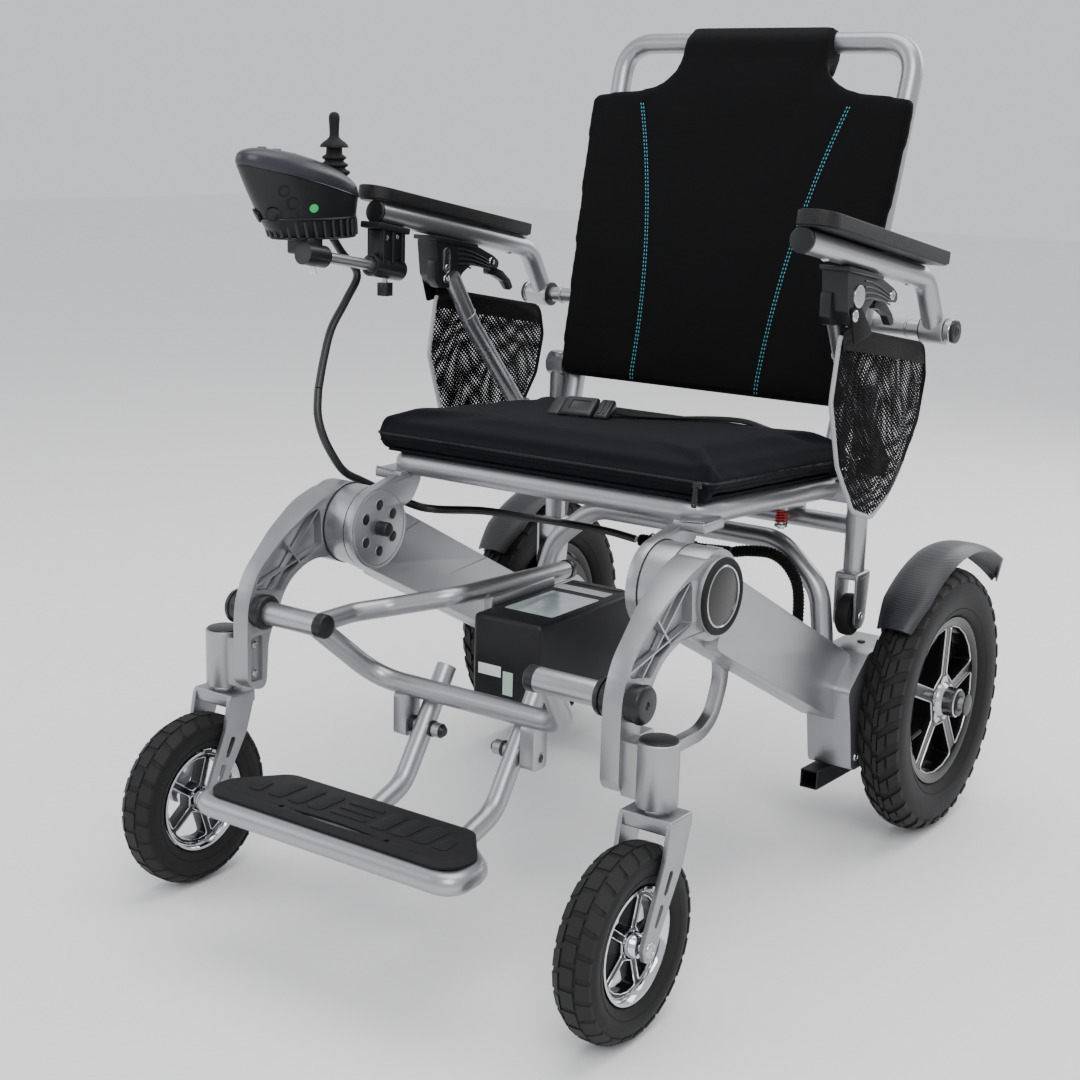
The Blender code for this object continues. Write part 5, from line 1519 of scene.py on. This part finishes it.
def belt(tree):
    """Webbing from both rear corners to a side-release buckle, lying on the cushion."""
    y, z = SEAT_FRONT
    straps = []
    for (ax, ay), (bx, by) in (((0.1665, y + 0.2915), (-0.024, y + 0.148)),
            ((-0.148, y + 0.292), (-0.054, y + 0.142))):
        path, ways = [], []
        run = Vector((bx - ax, by - ay, 0)).normalized()
        across = Vector((run.y, -run.x, 0))
        steps = 36
        for k in range(steps + 1):
            t = k / steps
            px, py = ax + (bx - ax) * t, ay + (by - ay) * t
            bow = 0.01 * sin(pi * t) + 0.003 * sin(4 * pi * t)
            px, py = px + across.x * bow, py + across.y * bow
            top = 0.0
            for share in (-0.4, 0.0, 0.4):
                start = on_seat(px + across.x * 0.025 * share, py + across.y * 0.025 * share,
                    z + 0.12)
                place, _, _, _ = tree.ray_cast(start, Vector((0, 0, -1)))
                top = max(top, place.z if place else 0.0)
            wave = 0.0016 + 0.0012 * (1 + sin(11 * t + ax * 20)) + 0.004 * max(0.0, t - 0.86) / 0.14
            path.append(Vector((px, on_seat(px, py, z).y, top + wave)))
            roll = radians(5) * sin(7 * t)
            ways.append(Vector((across.x, across.y, 0)) * cos(roll) + Vector((0, 0, 1)) * sin(roll))
        straps.append(looks(ribbon(path, ways, 0.025, 0.0014), "webbing", 40))
    put(joined(straps), "belt_webbing", "seat_frame", replaces=["lap_belt"])
    parts = []
    body = block((-0.018, -0.015, 0.0), (0.014, 0.015, 0.0115), 0.0032, 4)
    cuts = [block((-0.012, way * 0.015 - 0.0045, 0.003), (0.004, way * 0.015 + 0.0045, 0.009),
        0.001) for way in (1, -1)]
    dish = block((-0.01, -0.0075, 0.0105), (0.008, 0.0075, 0.014), 0.001)
    parts.append(carved(body, cuts + [dish]))
    for way in (1, -1):
        parts.append(block((-0.011, way * 0.0118 - 0.003, 0.0034),
            (0.003, way * 0.0118 + 0.003, 0.0086), 0.0015))
    parts.append(block((0.015, -0.0148, 0.001), (0.029, 0.0148, 0.0105), 0.0028, 4))
    parts.append(block((-0.03, -0.0145, 0.0015), (-0.0175, 0.0145, 0.0095), 0.0025, 4))
    for x_low in (0.0185, 0.0235):
        parts.append(block((x_low, -0.011, 0.01), (x_low + 0.0025, 0.011, 0.0112), 0.0004))
    clip = joined([looks(part, "satin_black") for part in parts])
    spot, _, _, _ = tree.ray_cast(on_seat(-0.04, y + 0.135, z + 0.12), Vector((0, 0, -1)))
    rest = spot.z if spot else z + 0.06
    clip.data.transform(Matrix.Translation((-0.04, on_seat(0, y + 0.135, z).y, rest + 0.0006))
        @ Matrix.Rotation(radians(14), 4, "Z") @ Matrix.Rotation(radians(24), 4, "X")
        @ Matrix.Scale(1.25, 4))
    put(clip, "belt_clip", "seat_frame", replaces=["belt_buckle"])


# ---- arms -------------------------------------------------------------------------------------
def arm_pads():
    """Long pads with rounded front corners, a leathery skin and a base plate."""
    for side in (1, -1):
        tag = SIDES[side]
        half, length = 0.0228, 0.303
        outline = [(half, 0.02), (half, length - 0.006), (half - 0.006, length),
            (-half + 0.006, length), (-half, length - 0.006),
            (-half, 0.02)] + [(-half + 0.02 - 0.02 * cos(a), 0.02 - 0.02 * sin(a))
            for a in (radians(d) for d in range(15, 90, 15))] + [(half - 0.02 + 0.02 * sin(a),
            0.02 - 0.02 * cos(a)) for a in (radians(d) for d in range(0, 90, 15))]
        body = flat([outline], 0.0146, 0.0291, "floor", bevel=0.0068, segments=6)
        for vertex in body.data.vertices:
            across = vertex.co.x / half
            if vertex.co.z > 0.024:
                vertex.co.z += 0.0012 * (1 - across ** 2) - 0.0006
        plate = flat([[(x * 0.93, 0.003 + y * 0.98) for x, y in outline]], 0.0128, 0.0158, "floor",
            bevel=0.0008)
        whole = joined([looks(body, "leather", 60), looks(plate, "black_plastic")])
        whole.data.transform(Matrix.Translation((side * 0.281, ARM_FRONT[0] - 0.0098,
            ARM_FRONT[1] + 0.0098 * tan(ARM_SLOPE))) @ Matrix.Rotation(-ARM_SLOPE, 4, "X"))
        put(whole, "arm_pad_skin_" + tag, "armrest_" + tag, replaces=["arm_pad_" + tag])
        along = Vector((0, cos(ARM_SLOPE), -sin(ARM_SLOPE)))
        front = Vector((side * ARM_X, *ARM_FRONT))
        parts = [looks(disc(front, -along, 0.0134, 0.0038, 0.0016, 36), "satin_black")]
        under = Vector((0, -sin(ARM_SLOPE), -cos(ARM_SLOPE)))
        for distance in (0.052, 0.262):
            spot = front + along * distance + under * 0.0118
            parts.append(looks(bolt(spot, under, 0.0044, 0.0034), "bright_steel"))
        collar = Vector((side * 0.259, *ARM_PIVOT))
        parts.append(looks(disc(collar, (-side, 0, 0), 0.015, 0.0024, 0.0008, 32), "satin_black"))
        put(joined(parts), "arm_trim_" + tag, "armrest_" + tag)
        end = Vector((side * 0.2945, *ARM_PIVOT))
        caps = [looks(disc(end, (side, 0, 0), 0.0133, 0.004, 0.0014, 36), "satin_black"),
            looks(bolt(end + Vector((side * 0.0036, 0, 0)), (side, 0, 0), 0.007, 0.002),
            "black_plastic"), looks(ring(end - Vector((side * 0.0016, 0, 0)), (side, 0, 0), 0.0126,
            0.001, 36), "bright_steel"), looks(ring(Vector((side * 0.2395, *ARM_PIVOT)),
            (side, 0, 0), 0.0098, 0.0014, 32), "silver_paint")]
        put(joined(caps), "arm_axle_caps_" + tag, "backrest")


def arm_supports():
    """Silver strut with its collar, under a black ribbed bracket with steel fixings."""
    outline = [(-0.002, 0.6868), (0.075, 0.6728), (0.112, 0.6585), (0.124, 0.651), (0.122, 0.642),
        (0.098, 0.6445), (0.07, 0.651), (0.05, 0.64), (0.042, 0.626), (0.018, 0.624), (0.004, 0.64)]
    ear = [(-0.002, 0.66), (0.032, 0.66), (0.036, 0.633), (0.03, 0.625), (0.006, 0.625),
        (-0.002, 0.634)]
    for side in (1, -1):
        tag = SIDES[side]
        strut = tube([(side * 0.2525, 0.03, 0.638), (side * 0.2495, 0.066, 0.58),
            (side * 0.2495, 0.178, 0.455)], 0.0105, bend=0.06, steps=8, sides=7)
        run = Vector((0.178 - 0.066, 0.455 - 0.58)).normalized()
        across = Vector((-run.y, run.x)) * 0.0104
        foot, heel = Vector((0.178, 0.455)) - run * 0.0005, Vector((0.178, 0.455)) - run * 0.02
        tab = flat([[tuple(foot + across), tuple(foot - across), tuple(heel - across),
            tuple(heel + across)]], side * 0.2355, side * 0.243, bevel=0.0006)
        parts = [looks(strut, "silver_paint"), looks(tab, "silver_paint"),
            looks(ring((side * 0.2498, 0.059, 0.5905), (0, run.x, run.y), 0.0106, 0.0008, 32),
            "silver_paint")]
        plate = slab(outline, 0.007, 3, side * 0.251, side * 0.28, bevel=0.0022, segments=3)
        flange = slab([(-0.004, 0.6875), (0.078, 0.673), (0.078, 0.669), (-0.004, 0.682)], 0.0015,
            2, side * 0.249, side * 0.2835, bevel=0.0008)
        parts += [looks(plate, "satin_black"), looks(flange, "satin_black"),
            looks(slab(ear, 0.006, 3, side * 0.2512, side * 0.2632, bevel=0.0016), "satin_black")]
        for k in range(4):
            arc = [(side * 0.2802, 0.04 + 0.064 * t,
                0.67 - 0.0062 * k - 0.019 * t ** 1.5 + 0.003 * k * t)
                for t in (i / 10 for i in range(11))]
            parts.append(looks(tube(arc, 0.0011, sides=2), "satin_black"))
            inner = [(side * 0.2508, py, pz) for _, py, pz in arc]
            parts.append(looks(tube(inner, 0.0011, sides=2), "satin_black"))
        out, back = (side, 0, 0), (-side, 0, 0)
        parts += [looks(disc((side * 0.2795, 0.026, 0.655), out, 0.012, 0.003, 0.001, 40),
            "machined"), looks(bolt((side * 0.2798, 0.108, 0.651), out, 0.0058, 0.0036),
            "bright_steel"), looks(bolt((side * 0.2512, 0.108, 0.651), back, 0.0056, 0.0034),
            "bright_steel"), looks(bolt((side * 0.2814, 0.019, 0.6355), out, 0.0066, 0.003),
            "bright_steel"), looks(bolt((side * 0.2514, 0.019, 0.6355), back, 0.0056, 0.0034),
            "bright_steel")]
        oval = [(0.018 + 0.0062 * cos(a), 0.666
            + (0.0062 * sin(a) if a < pi else 0.0062 * sin(a) - 0.018))
            for a in (2 * pi * k / 24 for k in range(24))]
        parts.append(looks(flat([oval], side * 0.2512, side * 0.2494, bevel=0.0005), "machined"))
        parts.append(looks(bolt((side * 0.2494, 0.018, 0.649), back, 0.0034, 0.0018),
            "bright_steel"))
        lever = slab([(0.118, 0.644), (0.136, 0.638), (0.152, 0.626), (0.158, 0.616), (0.15, 0.613),
            (0.138, 0.625), (0.12, 0.633), (0.106, 0.636), (0.106, 0.644)], 0.004, 3, side * 0.254,
            side * 0.2625, bevel=0.0016)
        parts.append(looks(lever, "satin_black"))
        put(joined(parts), "arm_support_detail_" + tag, "backrest", replaces=["arm_support_" + tag])


BAG_OUTLINE = [(0.02, 0.6225), (0.233, 0.587), (0.242, 0.55), (0.229, 0.501), (0.194, 0.456),
    (0.158, 0.421), (0.122, 0.4045), (0.074, 0.42), (0.03, 0.475), (0.006, 0.545)]


def inside(point, outline):
    """True if a flat point lies within the outline."""
    found = False
    for (ay, az), (by, bz) in zip(outline, outline[1:] + outline[:1]):
        if (az > point[1]) != (bz > point[1]):
            if point[0] < ay + (point[1] - az) * (by - ay) / (bz - az):
                found = not found
    return found


def mesh_bags():
    """Netting pockets: a flat inner net, an outer net that sags open, a hem and pale piping."""
    outline = smooth_outline(BAG_OUTLINE, 0.02, 6)
    cell, thread = 0.0041, 0.00138
    centre = Vector((0.125, 0.51))

    def sag(y, z):
        """How far the outer net stands off, most in the lower middle and nothing at the edges."""
        reach = Vector((y, z)) - centre
        u = min(1.0, (reach.x / 0.112) ** 2 + (reach.y / 0.095) ** 2)
        folds = 0.0016 * sin(y * 95 + z * 24) + 0.0012 * sin(y * 41 - z * 60)
        return (1 - u) ** 0.8 * (0.0085 + folds)
    for side in (1, -1):
        tag = SIDES[side]
        for layer, name in ((0, "bag_inner_"), (1, "bag_net_")):
            verts, faces, index = [], [], {}
            bias = radians(45 if layer else 53)
            for i in range(-45, 46):
                for j in range(-45, 46):
                    corners = [(i + a, j + b) for a, b in ((0, 0), (1, 0), (1, 1), (0, 1))]
                    flat_corners = [(centre.x + (u * cos(bias) - v * sin(bias)) * cell,
                        centre.y + (u * sin(bias) + v * cos(bias)) * cell) for u, v in corners]
                    if not all(inside(p, outline) for p in flat_corners):
                        continue
                    face = []
                    for key, (py, pz) in zip(corners, flat_corners):
                        if key not in index:
                            index[key] = len(verts)
                            verts.append((0.0, py, pz))
                        face.append(index[key])
                    faces.append(tuple(face))
            net = from_faces(name, verts, faces)
            work = bmesh.new()
            work.from_mesh(net.data)
            bmesh.ops.inset_individual(work, faces=work.faces[:], thickness=thread)
            holes = [f for f in work.faces if len(f.verts) == 4 and f.calc_area() > (cell
                * 0.5) ** 2]
            bmesh.ops.delete(work, geom=holes, context="FACES_ONLY")
            work.to_mesh(net.data)
            area = sum(f.calc_area() for f in work.faces)
            work.free()
            for vertex in net.data.vertices:
                py, pz = vertex.co.y, vertex.co.z
                vertex.co.x = side * (0.2655 + layer * (0.0012 + sag(py, pz)))
            put(net, name + tag, "backrest", "net_fabric", replaces=["mesh_bag_" + tag]
                if layer else (), smooth=80)
        top_a, top_b = Vector((0.0205, 0.6215)), Vector((0.2315, 0.5862))
        hem_verts, hem_faces = [], []
        steps = 40
        for k in range(steps + 1):
            t = k / steps
            edge = top_a.lerp(top_b, t) + Vector((0, 0.001))
            for drop, push in ((0.0, 0.0), (0.0, 0.0024), (0.023, 0.0034), (0.023, 0.001)):
                x = 0.2648 + push + 0.0075 * sin(pi * t) ** 2 * (1
                    if push > 0 else 0) * (drop / 0.023)
                hem_verts.append((side * x, edge.x + drop * 0.16, edge.y - drop))
        for k in range(steps):
            for i in range(4):
                n = (i + 1) % 4
                hem_faces.append((k * 4 + i, k * 4 + n, k * 4 + 4 + n, k * 4 + 4 + i))
        hem_faces += [(3, 2, 1, 0), tuple(steps * 4 + i for i in range(4))]
        parts = [looks(from_faces("hem", hem_verts, hem_faces), "webbing", 50)]
        tab = smooth_outline([(0.0075, 0.643), (0.03, 0.646), (0.064, 0.613), (0.02, 0.606)], 0.004,
            3)
        parts.append(looks(flat([tab], side * 0.2802, side * 0.2818, bevel=0.0004), "webbing", 50))
        border = outline + outline[:1]
        pale, dark = [], []
        for (ay, az), (by, bz) in zip(border, border[1:]):
            on_front = ay < 0.13 and az < 0.613 and (by < 0.13)
            (pale if on_front or az < 0.47 else dark).append(((ay, az), (by, bz)))
        for group, material, radius in ((pale, "piping", 0.0024), (dark, "webbing", 0.0022)):
            runs, run = [], []
            for a, b in group:
                if run and run[-1] != a:
                    runs.append(run)
                    run = []
                run = run or [a]
                run.append(b)
            runs.append(run)
            for run in runs:
                points = [(side * 0.2662, py, pz) for py, pz in run]
                parts.append(looks(tube(points, radius, sides=3), material))
        put(joined(parts), "bag_binding_" + tag, "backrest")


# ---- joystick ---------------------------------------------------------------------------------
def on_rod(y):
    """A point on the axis of the joystick's rod."""
    return (-ARM_X, y, 0.647 - 0.1656 * (y + 0.042))


def egg(rings, steps=64, between=5):
    """A closed loft through tilted ellipses given as ((y, z), half x, half y, rise)."""
    count = len(rings)

    def mixed(k, t):
        rows = [rings[min(max(k + d, 0), count - 1)] for d in (-1, 0, 1, 2)]
        flat_rows = [(r[0][0], r[0][1], r[1], r[2], r[3]) for r in rows]
        values = []
        for a, b, c, d in zip(*flat_rows):
            values.append(0.5 * (2 * b + (c - a) * t + (2 * a - 5 * b + 4 * c - d) * t ** 2
                + (3 * b - a - 3 * c + d) * t ** 3))
        return values
    levels = [mixed(k, i / between) for k in range(count - 1) for i in range(between)]
    levels.append(mixed(count - 1, 0.0))
    verts, faces = [], []
    for y, z, half_x, half_y, rise in levels:
        for k in range(steps):
            angle = 2 * pi * k / steps
            v = half_y * sin(angle)
            verts.append((CASE_X + half_x * cos(angle), y + v, z - v * tan(rise)))
    for row in range(len(levels) - 1):
        for k in range(steps):
            n = (k + 1) % steps
            faces.append((row * steps + k, row * steps + n, (row + 1) * steps + n,
                (row + 1) * steps + k))
    faces.append(tuple(range(steps - 1, -1, -1)))
    faces.append(tuple(len(verts) - steps + k for k in range(steps)))
    return from_faces("egg", verts, faces)


def joystick():
    """Egg-shaped controller: black ribbed base, satin cover, buttons, boot and stick."""
    rise = 0.2175
    lower = [((-0.165, 0.69), 0.0285, 0.057, 0.0), ((-0.1652, 0.6912), 0.0296, 0.0592, 0.0),
        ((-0.171, 0.701), 0.0312, 0.0675, 0.05), ((-0.18, 0.724), 0.0333, 0.0785, 0.13),
        ((-0.1872, 0.7455), 0.0346, 0.0882, 0.21), ((-0.188, 0.749), 0.0346, 0.0886, rise)]
    upper = [((-0.188, 0.7492), 0.0352, 0.0897, rise), ((-0.189, 0.755), 0.0355, 0.0905, rise),
        ((-0.189, 0.764), 0.0338, 0.086, rise), ((-0.189, 0.7715), 0.0268, 0.069, rise),
        ((-0.189, 0.7762), 0.0165, 0.042, rise), ((-0.189, 0.7783), 0.0062, 0.0155, rise)]
    cover = "cover_grey"
    base = egg(lower)
    tree = surface_of(base)
    parts = [looks(base, "satin_black", 50), looks(egg(upper), cover, 50)]
    fins = 30
    for k in range(fins):
        angle = 2 * pi * k / fins
        along = Vector((0.0312 * cos(angle), 0.0625 * sin(angle), 0))
        normal = Vector((cos(angle) / 0.0312, sin(angle) / 0.0625, 0)).normalized()
        foot = Vector((CASE_X, -0.1655, 0.6915)) + along
        top = Vector((CASE_X, -0.17, 0.7095)) + along * 1.06
        fin = rod(foot + normal * 0.0004, top - normal * 0.0004, 0.0021, 8, 0.0008)
        parts.append(looks(fin, "satin_black"))
    for height, half_x, half_y, middle in ((0.6898, 0.0305, 0.0605, -0.165),
            (0.711, 0.033, 0.07, -0.1735)):
        band = [(CASE_X + half_x * cos(a), middle + half_y * sin(a), height)
            for a in (2 * pi * k / 56 for k in range(56))]
        parts.append(looks(tube(band, 0.0014, closed=True, sides=2), "satin_black"))
    split = [(CASE_X + 0.0351 * cos(a), -0.188 + 0.0894 * sin(a),
        0.7489 - 0.0894 * sin(a) * tan(rise)) for a in (2 * pi * k / 80 for k in range(80))]
    parts.append(looks(tube(split, 0.0006, closed=True, sides=1), "gloss_black"))
    green = "green_dot"
    spots = [((-0.196, 0.723), (0.0046, 0.006), green),
        ((-0.224, 0.729), (0.0058, 0.0058), "black_plastic"),
        ((-0.236, 0.742), (0.0052, 0.0052), "black_plastic"),
        ((-0.213, 0.718), (0.0028, 0.0028), "black_plastic")]
    for (py, pz), (half_y, half_z), material in spots:
        start = Vector((CASE_X + 0.2, py - 0.02, pz))
        place, normal, _, _ = tree.ray_cast(start, Vector((-1, 0.1, 0)).normalized())
        if not place:
            continue
        normal = normal if normal.x > 0 else -normal
        dot = disc((0, 0, 0), (0, 0, 1), 1.0, 0.001, 0.0004, 28)
        dot.data.transform(Matrix.Diagonal((half_z, half_y, 1, 1)))
        parts.append(looks(aimed(dot, place - normal * 0.0003, normal), material))
        if material != green:
            parts.append(looks(ring(place + normal * 0.0003, normal, half_y * 1.15, 0.0007, 28),
                "black_plastic"))
    for y_front, x_off in ((-0.212, -0.01), (-0.212, 0.012)):
        place, normal, _, _ = tree.ray_cast(Vector((CASE_X + x_off, y_front - 0.05, 0.66)),
            Vector((0, 0.35, 1)).normalized())
        if place:
            normal = -normal if normal.z > 0 else normal
            parts.append(looks(disc(place - normal * 0.0004, normal, 0.0075, 0.0022, 0.0008, 32),
                "gloss_black"))
            parts.append(looks(ring(place + normal * 0.0014, normal, 0.0078, 0.001, 32),
                "black_plastic"))
    elbow = rod(on_rod(-0.2085), on_rod(-0.1745), 0.0125, 36, 0.003)
    neck = block((-0.301, -0.203, 0.672), (-0.267, -0.179, 0.6915), 0.003)
    clear = "clear_screw"
    parts += [looks(elbow, "satin_black"), looks(neck, "satin_black"),
        looks(ring(on_rod(-0.175), (0, 1, -0.1656), 0.0112, 0.0012, 32), "gloss_black"),
        looks(rod((-0.271, -0.192, 0.66), (-0.271, -0.192, 0.6545), 0.003, 16), clear),
        looks(rod((-0.271, -0.192, 0.6548), (-0.271, -0.192, 0.6505), 0.0042, 6, 0.0006), clear)]
    for y_screw in (-0.14, -0.205):
        parts.append(looks(bolt((-0.284, y_screw, 0.6897), (0, 0, -1), 0.0042, 0.0034),
            "bright_steel"))
    gland = rod((-0.305, -0.1222, 0.694), (-0.305, -0.1216, 0.6838), 0.0058, 24, 0.0012)
    parts.append(looks(gland, "satin_black"))
    put(joined(parts), "controller_shell", "joystick_mount", replaces=["joystick_case"])
    boot = [(0.0146, 0.756), (0.0178, 0.759), (0.0178, 0.7612), (0.013, 0.7636), (0.0124, 0.765),
        (0.0156, 0.7672), (0.0156, 0.769), (0.0112, 0.7716), (0.0106, 0.773), (0.0136, 0.7752),
        (0.0136, 0.777), (0.0094, 0.7798), (0.0088, 0.788), (0.0074, 0.788), (0.0074, 0.756)]
    boot = turned(boot, 48, True)
    boot.data.transform(Matrix.Translation((CASE_X, STICK_Y, 0)))
    put(boot, "boot_bellows", "joystick_gimbal", "rubber", replaces=["joystick_boot"],
        smooth=60)
    stick = [(0.0, 0.8262), (0.0026, 0.8258), (0.0048, 0.8243), (0.006, 0.8218), (0.0063, 0.819),
        (0.0057, 0.811), (0.0053, 0.802), (0.0058, 0.7985), (0.0084, 0.7958), (0.0124, 0.793),
        (0.015, 0.7905), (0.016, 0.7884), (0.0158, 0.7872), (0.006, 0.787), (0.0052, 0.785),
        (0.0052, 0.77), (0.0, 0.77)]
    stick = turned(stick, 48)
    stick.data.transform(Matrix.Translation((CASE_X, STICK_Y, 0)))
    put(stick, "stick_grip", "joystick_stick", "rubber", replaces=["joystick_stick"],
        smooth=50)
    for name, (x, y), (floor, top) in (("power_button", (CASE_X, -0.2), (0.77, 0.7812)),
            ("horn_button", (CASE_X, -0.223), (0.774, 0.7858)),
            ("speed_button", (CASE_X, -0.246), (0.776, 0.788))):
        cap = disc((x, y, floor), (0, 0, 1), 0.005, top - floor, 0.0012, 28)
        put(cap, name + "_cap", name, "button_grey", replaces=[name])


def clamp():
    """Ribbed clamp under the right arm, with its rubber saddle, screws and square knob."""
    parts = []
    for y in (-0.0845, -0.068, -0.0515):
        rib = block((-ARM_X + 0.008, y - 0.003, 0.657), (-ARM_X + 0.0125, y + 0.003, 0.6975), 0.001)
        back = block((-ARM_X - 0.0125, y - 0.003, 0.657), (-ARM_X - 0.008, y + 0.003, 0.6975),
            0.001)
        parts += [looks(rib, "satin_black"), looks(back, "satin_black")]
    saddle = tilted(block((-ARM_X - 0.015, -0.098, 0.6935), (-ARM_X + 0.015, -0.042, 0.701), 0.002),
        -ARM_SLOPE, (-0.07, 0.697))
    core = block((-ARM_X - 0.009, -0.088, 0.66), (-ARM_X + 0.009, -0.048, 0.696), 0.0012)
    sleeve = rod(on_rod(-0.0965), on_rod(-0.0435), 0.0126, 36, 0.0024)
    parts += [looks(saddle, "rubber"), looks(core, "satin_black"), looks(sleeve, "satin_black"),
        looks(ring(on_rod(-0.0962), (0, -1, 0.1656), 0.0095, 0.0014, 32), "gloss_black")]
    for y in (-0.06, -0.078):
        parts.append(looks(bolt((-ARM_X + 0.0088, y, 0.687), (1, 0, 0), 0.0036, 0.003),
            "bright_steel"))
    put(joined(parts), "clamp_ribbed", "armrest_right", replaces=["joystick_clamp"])
    lobes = [(-ARM_X + (0.0082 + 0.0009 * cos(4 * a)) * cos(a + pi / 4),
        -0.07 + (0.0082 + 0.0009 * cos(4 * a)) * sin(a + pi / 4))
        for a in (2 * pi * k / 48 for k in range(48))]
    knob = flat([lobes], 0.6195, 0.6345, "floor", bevel=0.0012)
    stem = rod((-ARM_X, -0.07, 0.634), (-ARM_X, -0.07, 0.643), 0.003, 20)
    put(joined([looks(knob, "satin_black"), looks(stem, "bright_steel")]), "clamp_knob_square",
        "clamp_knob", replaces=["clamp_knob"])


# ---- cables -----------------------------------------------------------------------------------
def smooth_route(points, spacing):
    """Points along a Catmull-Rom curve through the route's own points."""
    places = [Vector(p) for p in points]
    places = [places[0] * 2 - places[1]] + places + [places[-1] * 2 - places[-2]]
    path = []
    for a, b, c, d in zip(places, places[1:], places[2:], places[3:]):
        count = max(1, round((c - b).length / spacing))
        for k in range(count):
            t = k / count
            path.append(0.5 * (2 * b + (c - a) * t + (2 * a - 5 * b + 4 * c - d) * t ** 2
                + (3 * b - a - 3 * c + d) * t ** 3))
    path.append(places[-2])
    return path


UPPER_CABLE = [(-0.305, -0.122, 0.6858), (-0.306, -0.105, 0.668), (-0.303, -0.082, 0.643),
    (-0.2985, -0.106, 0.615), (-0.29, -0.141, 0.585), (-0.282, -0.163, 0.552),
    (-0.275, -0.179, 0.522)]
LOWER_CABLE = [(-0.275, -0.1793, 0.5212), (-0.268, -0.188, 0.495), (-0.26, -0.188, 0.471),
    (-0.254, -0.177, 0.446), (-0.25, -0.162, 0.427), (-0.242, -0.138, 0.413),
    (-0.21, -0.095, 0.386), (-0.182, -0.082, 0.381), (-0.16, -0.02, 0.372), (-0.14, 0.05, 0.355),
    (-0.124, 0.1, 0.342), (-0.08, 0.125, 0.335), (-0.04, 0.13, 0.33)]
SEAT_HARNESS = [(-0.0345, 0.13, 0.33), (0.025, 0.133, 0.33), (0.085, 0.14, 0.332)]
ARCH_HARNESS = [(0.088, 0.1412, 0.3332), (0.108, 0.145, 0.337), (0.136, 0.149, 0.337),
    (0.158, 0.15, 0.323), (0.172, 0.147, 0.298), (0.176, 0.142, 0.25)]


def cables():
    """The joystick's lead in three lengths, cut at the joints between the rod, arm and backrest."""
    move = Vector((0, DATUM_Y, 0))
    upper = [p + move for p in smooth_route(UPPER_CABLE, 0.006)]
    bend = Vector(UPPER_CABLE[2]) + move
    cut = min(range(len(upper)), key=lambda k: (upper[k] - bend).length)
    lower = [p + move for p in smooth_route(LOWER_CABLE, 0.006)]
    for name, path, nodes, bodies, settles in (("lead_top", upper[:cut + 1], [],
            ("joystick_mount", "armrest_right"), -2),
            ("lead_upper", upper[cut:], ["joystick_cable_upper"], ("armrest_right", "backrest"),
            -3), ("lead_lower", lower, ["joystick_cable_lower"], ("backrest", "seat_frame"), 20)):
        lead = looks(tube(path, 0.0048, sides=4), "cable", 60)
        lead.name = lead.data.name = name
        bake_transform(lead)
        if nodes:
            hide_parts(*nodes)


def harnesses():
    """Wrapped wiring under the seat and down the arch, its ties and a blank white tag."""
    for name, node, route, body, radius in (("harness_seat", "seat_harness", SEAT_HARNESS,
            "seat_frame", 0.0078), ("harness_arch", "arch_harness", ARCH_HARNESS, "rear_frame",
            0.0068)):
        path = smooth_route(route, 0.004)
        parts = [looks(tube(path, radius * 0.93, sides=5), "webbing", 60)]
        for k in range(1, len(path) - 1):
            parts.append(looks(ring(path[k], path[k + 1] - path[k - 1], radius * 0.92, 0.0009, 20),
                "webbing"))
        put(joined(parts), name, body, replaces=[node])
    ties = [looks(ring((x, 0.1335, 0.3305), (1, 0.08, 0), 0.0086, 0.0012, 24), "black_plastic")
        for x in (-0.02, 0.04)]
    tag = block((0.06, 0.1262, 0.326), (0.082, 0.1272, 0.34), 0.0003, 1)
    put(joined(ties + [looks(tag, "pale_label")]), "harness_ties", "seat_frame")


# ---- everything -------------------------------------------------------------------------------
camera()
cables()
studio()
carried_frame()
seat_rails()
uprights()
crossbars()
rear_legs()
back_tubes()
hubs()
front_legs()
crossbar_trim()
rear_wheels()
casters()
fenders()
rear_leg_trim()
lock_and_trolley()
battery()
footrest()
foot_mat()
back_pad()
belt(cushion())
arm_pads()
arm_supports()
mesh_bags()
joystick()
clamp()
harnesses()
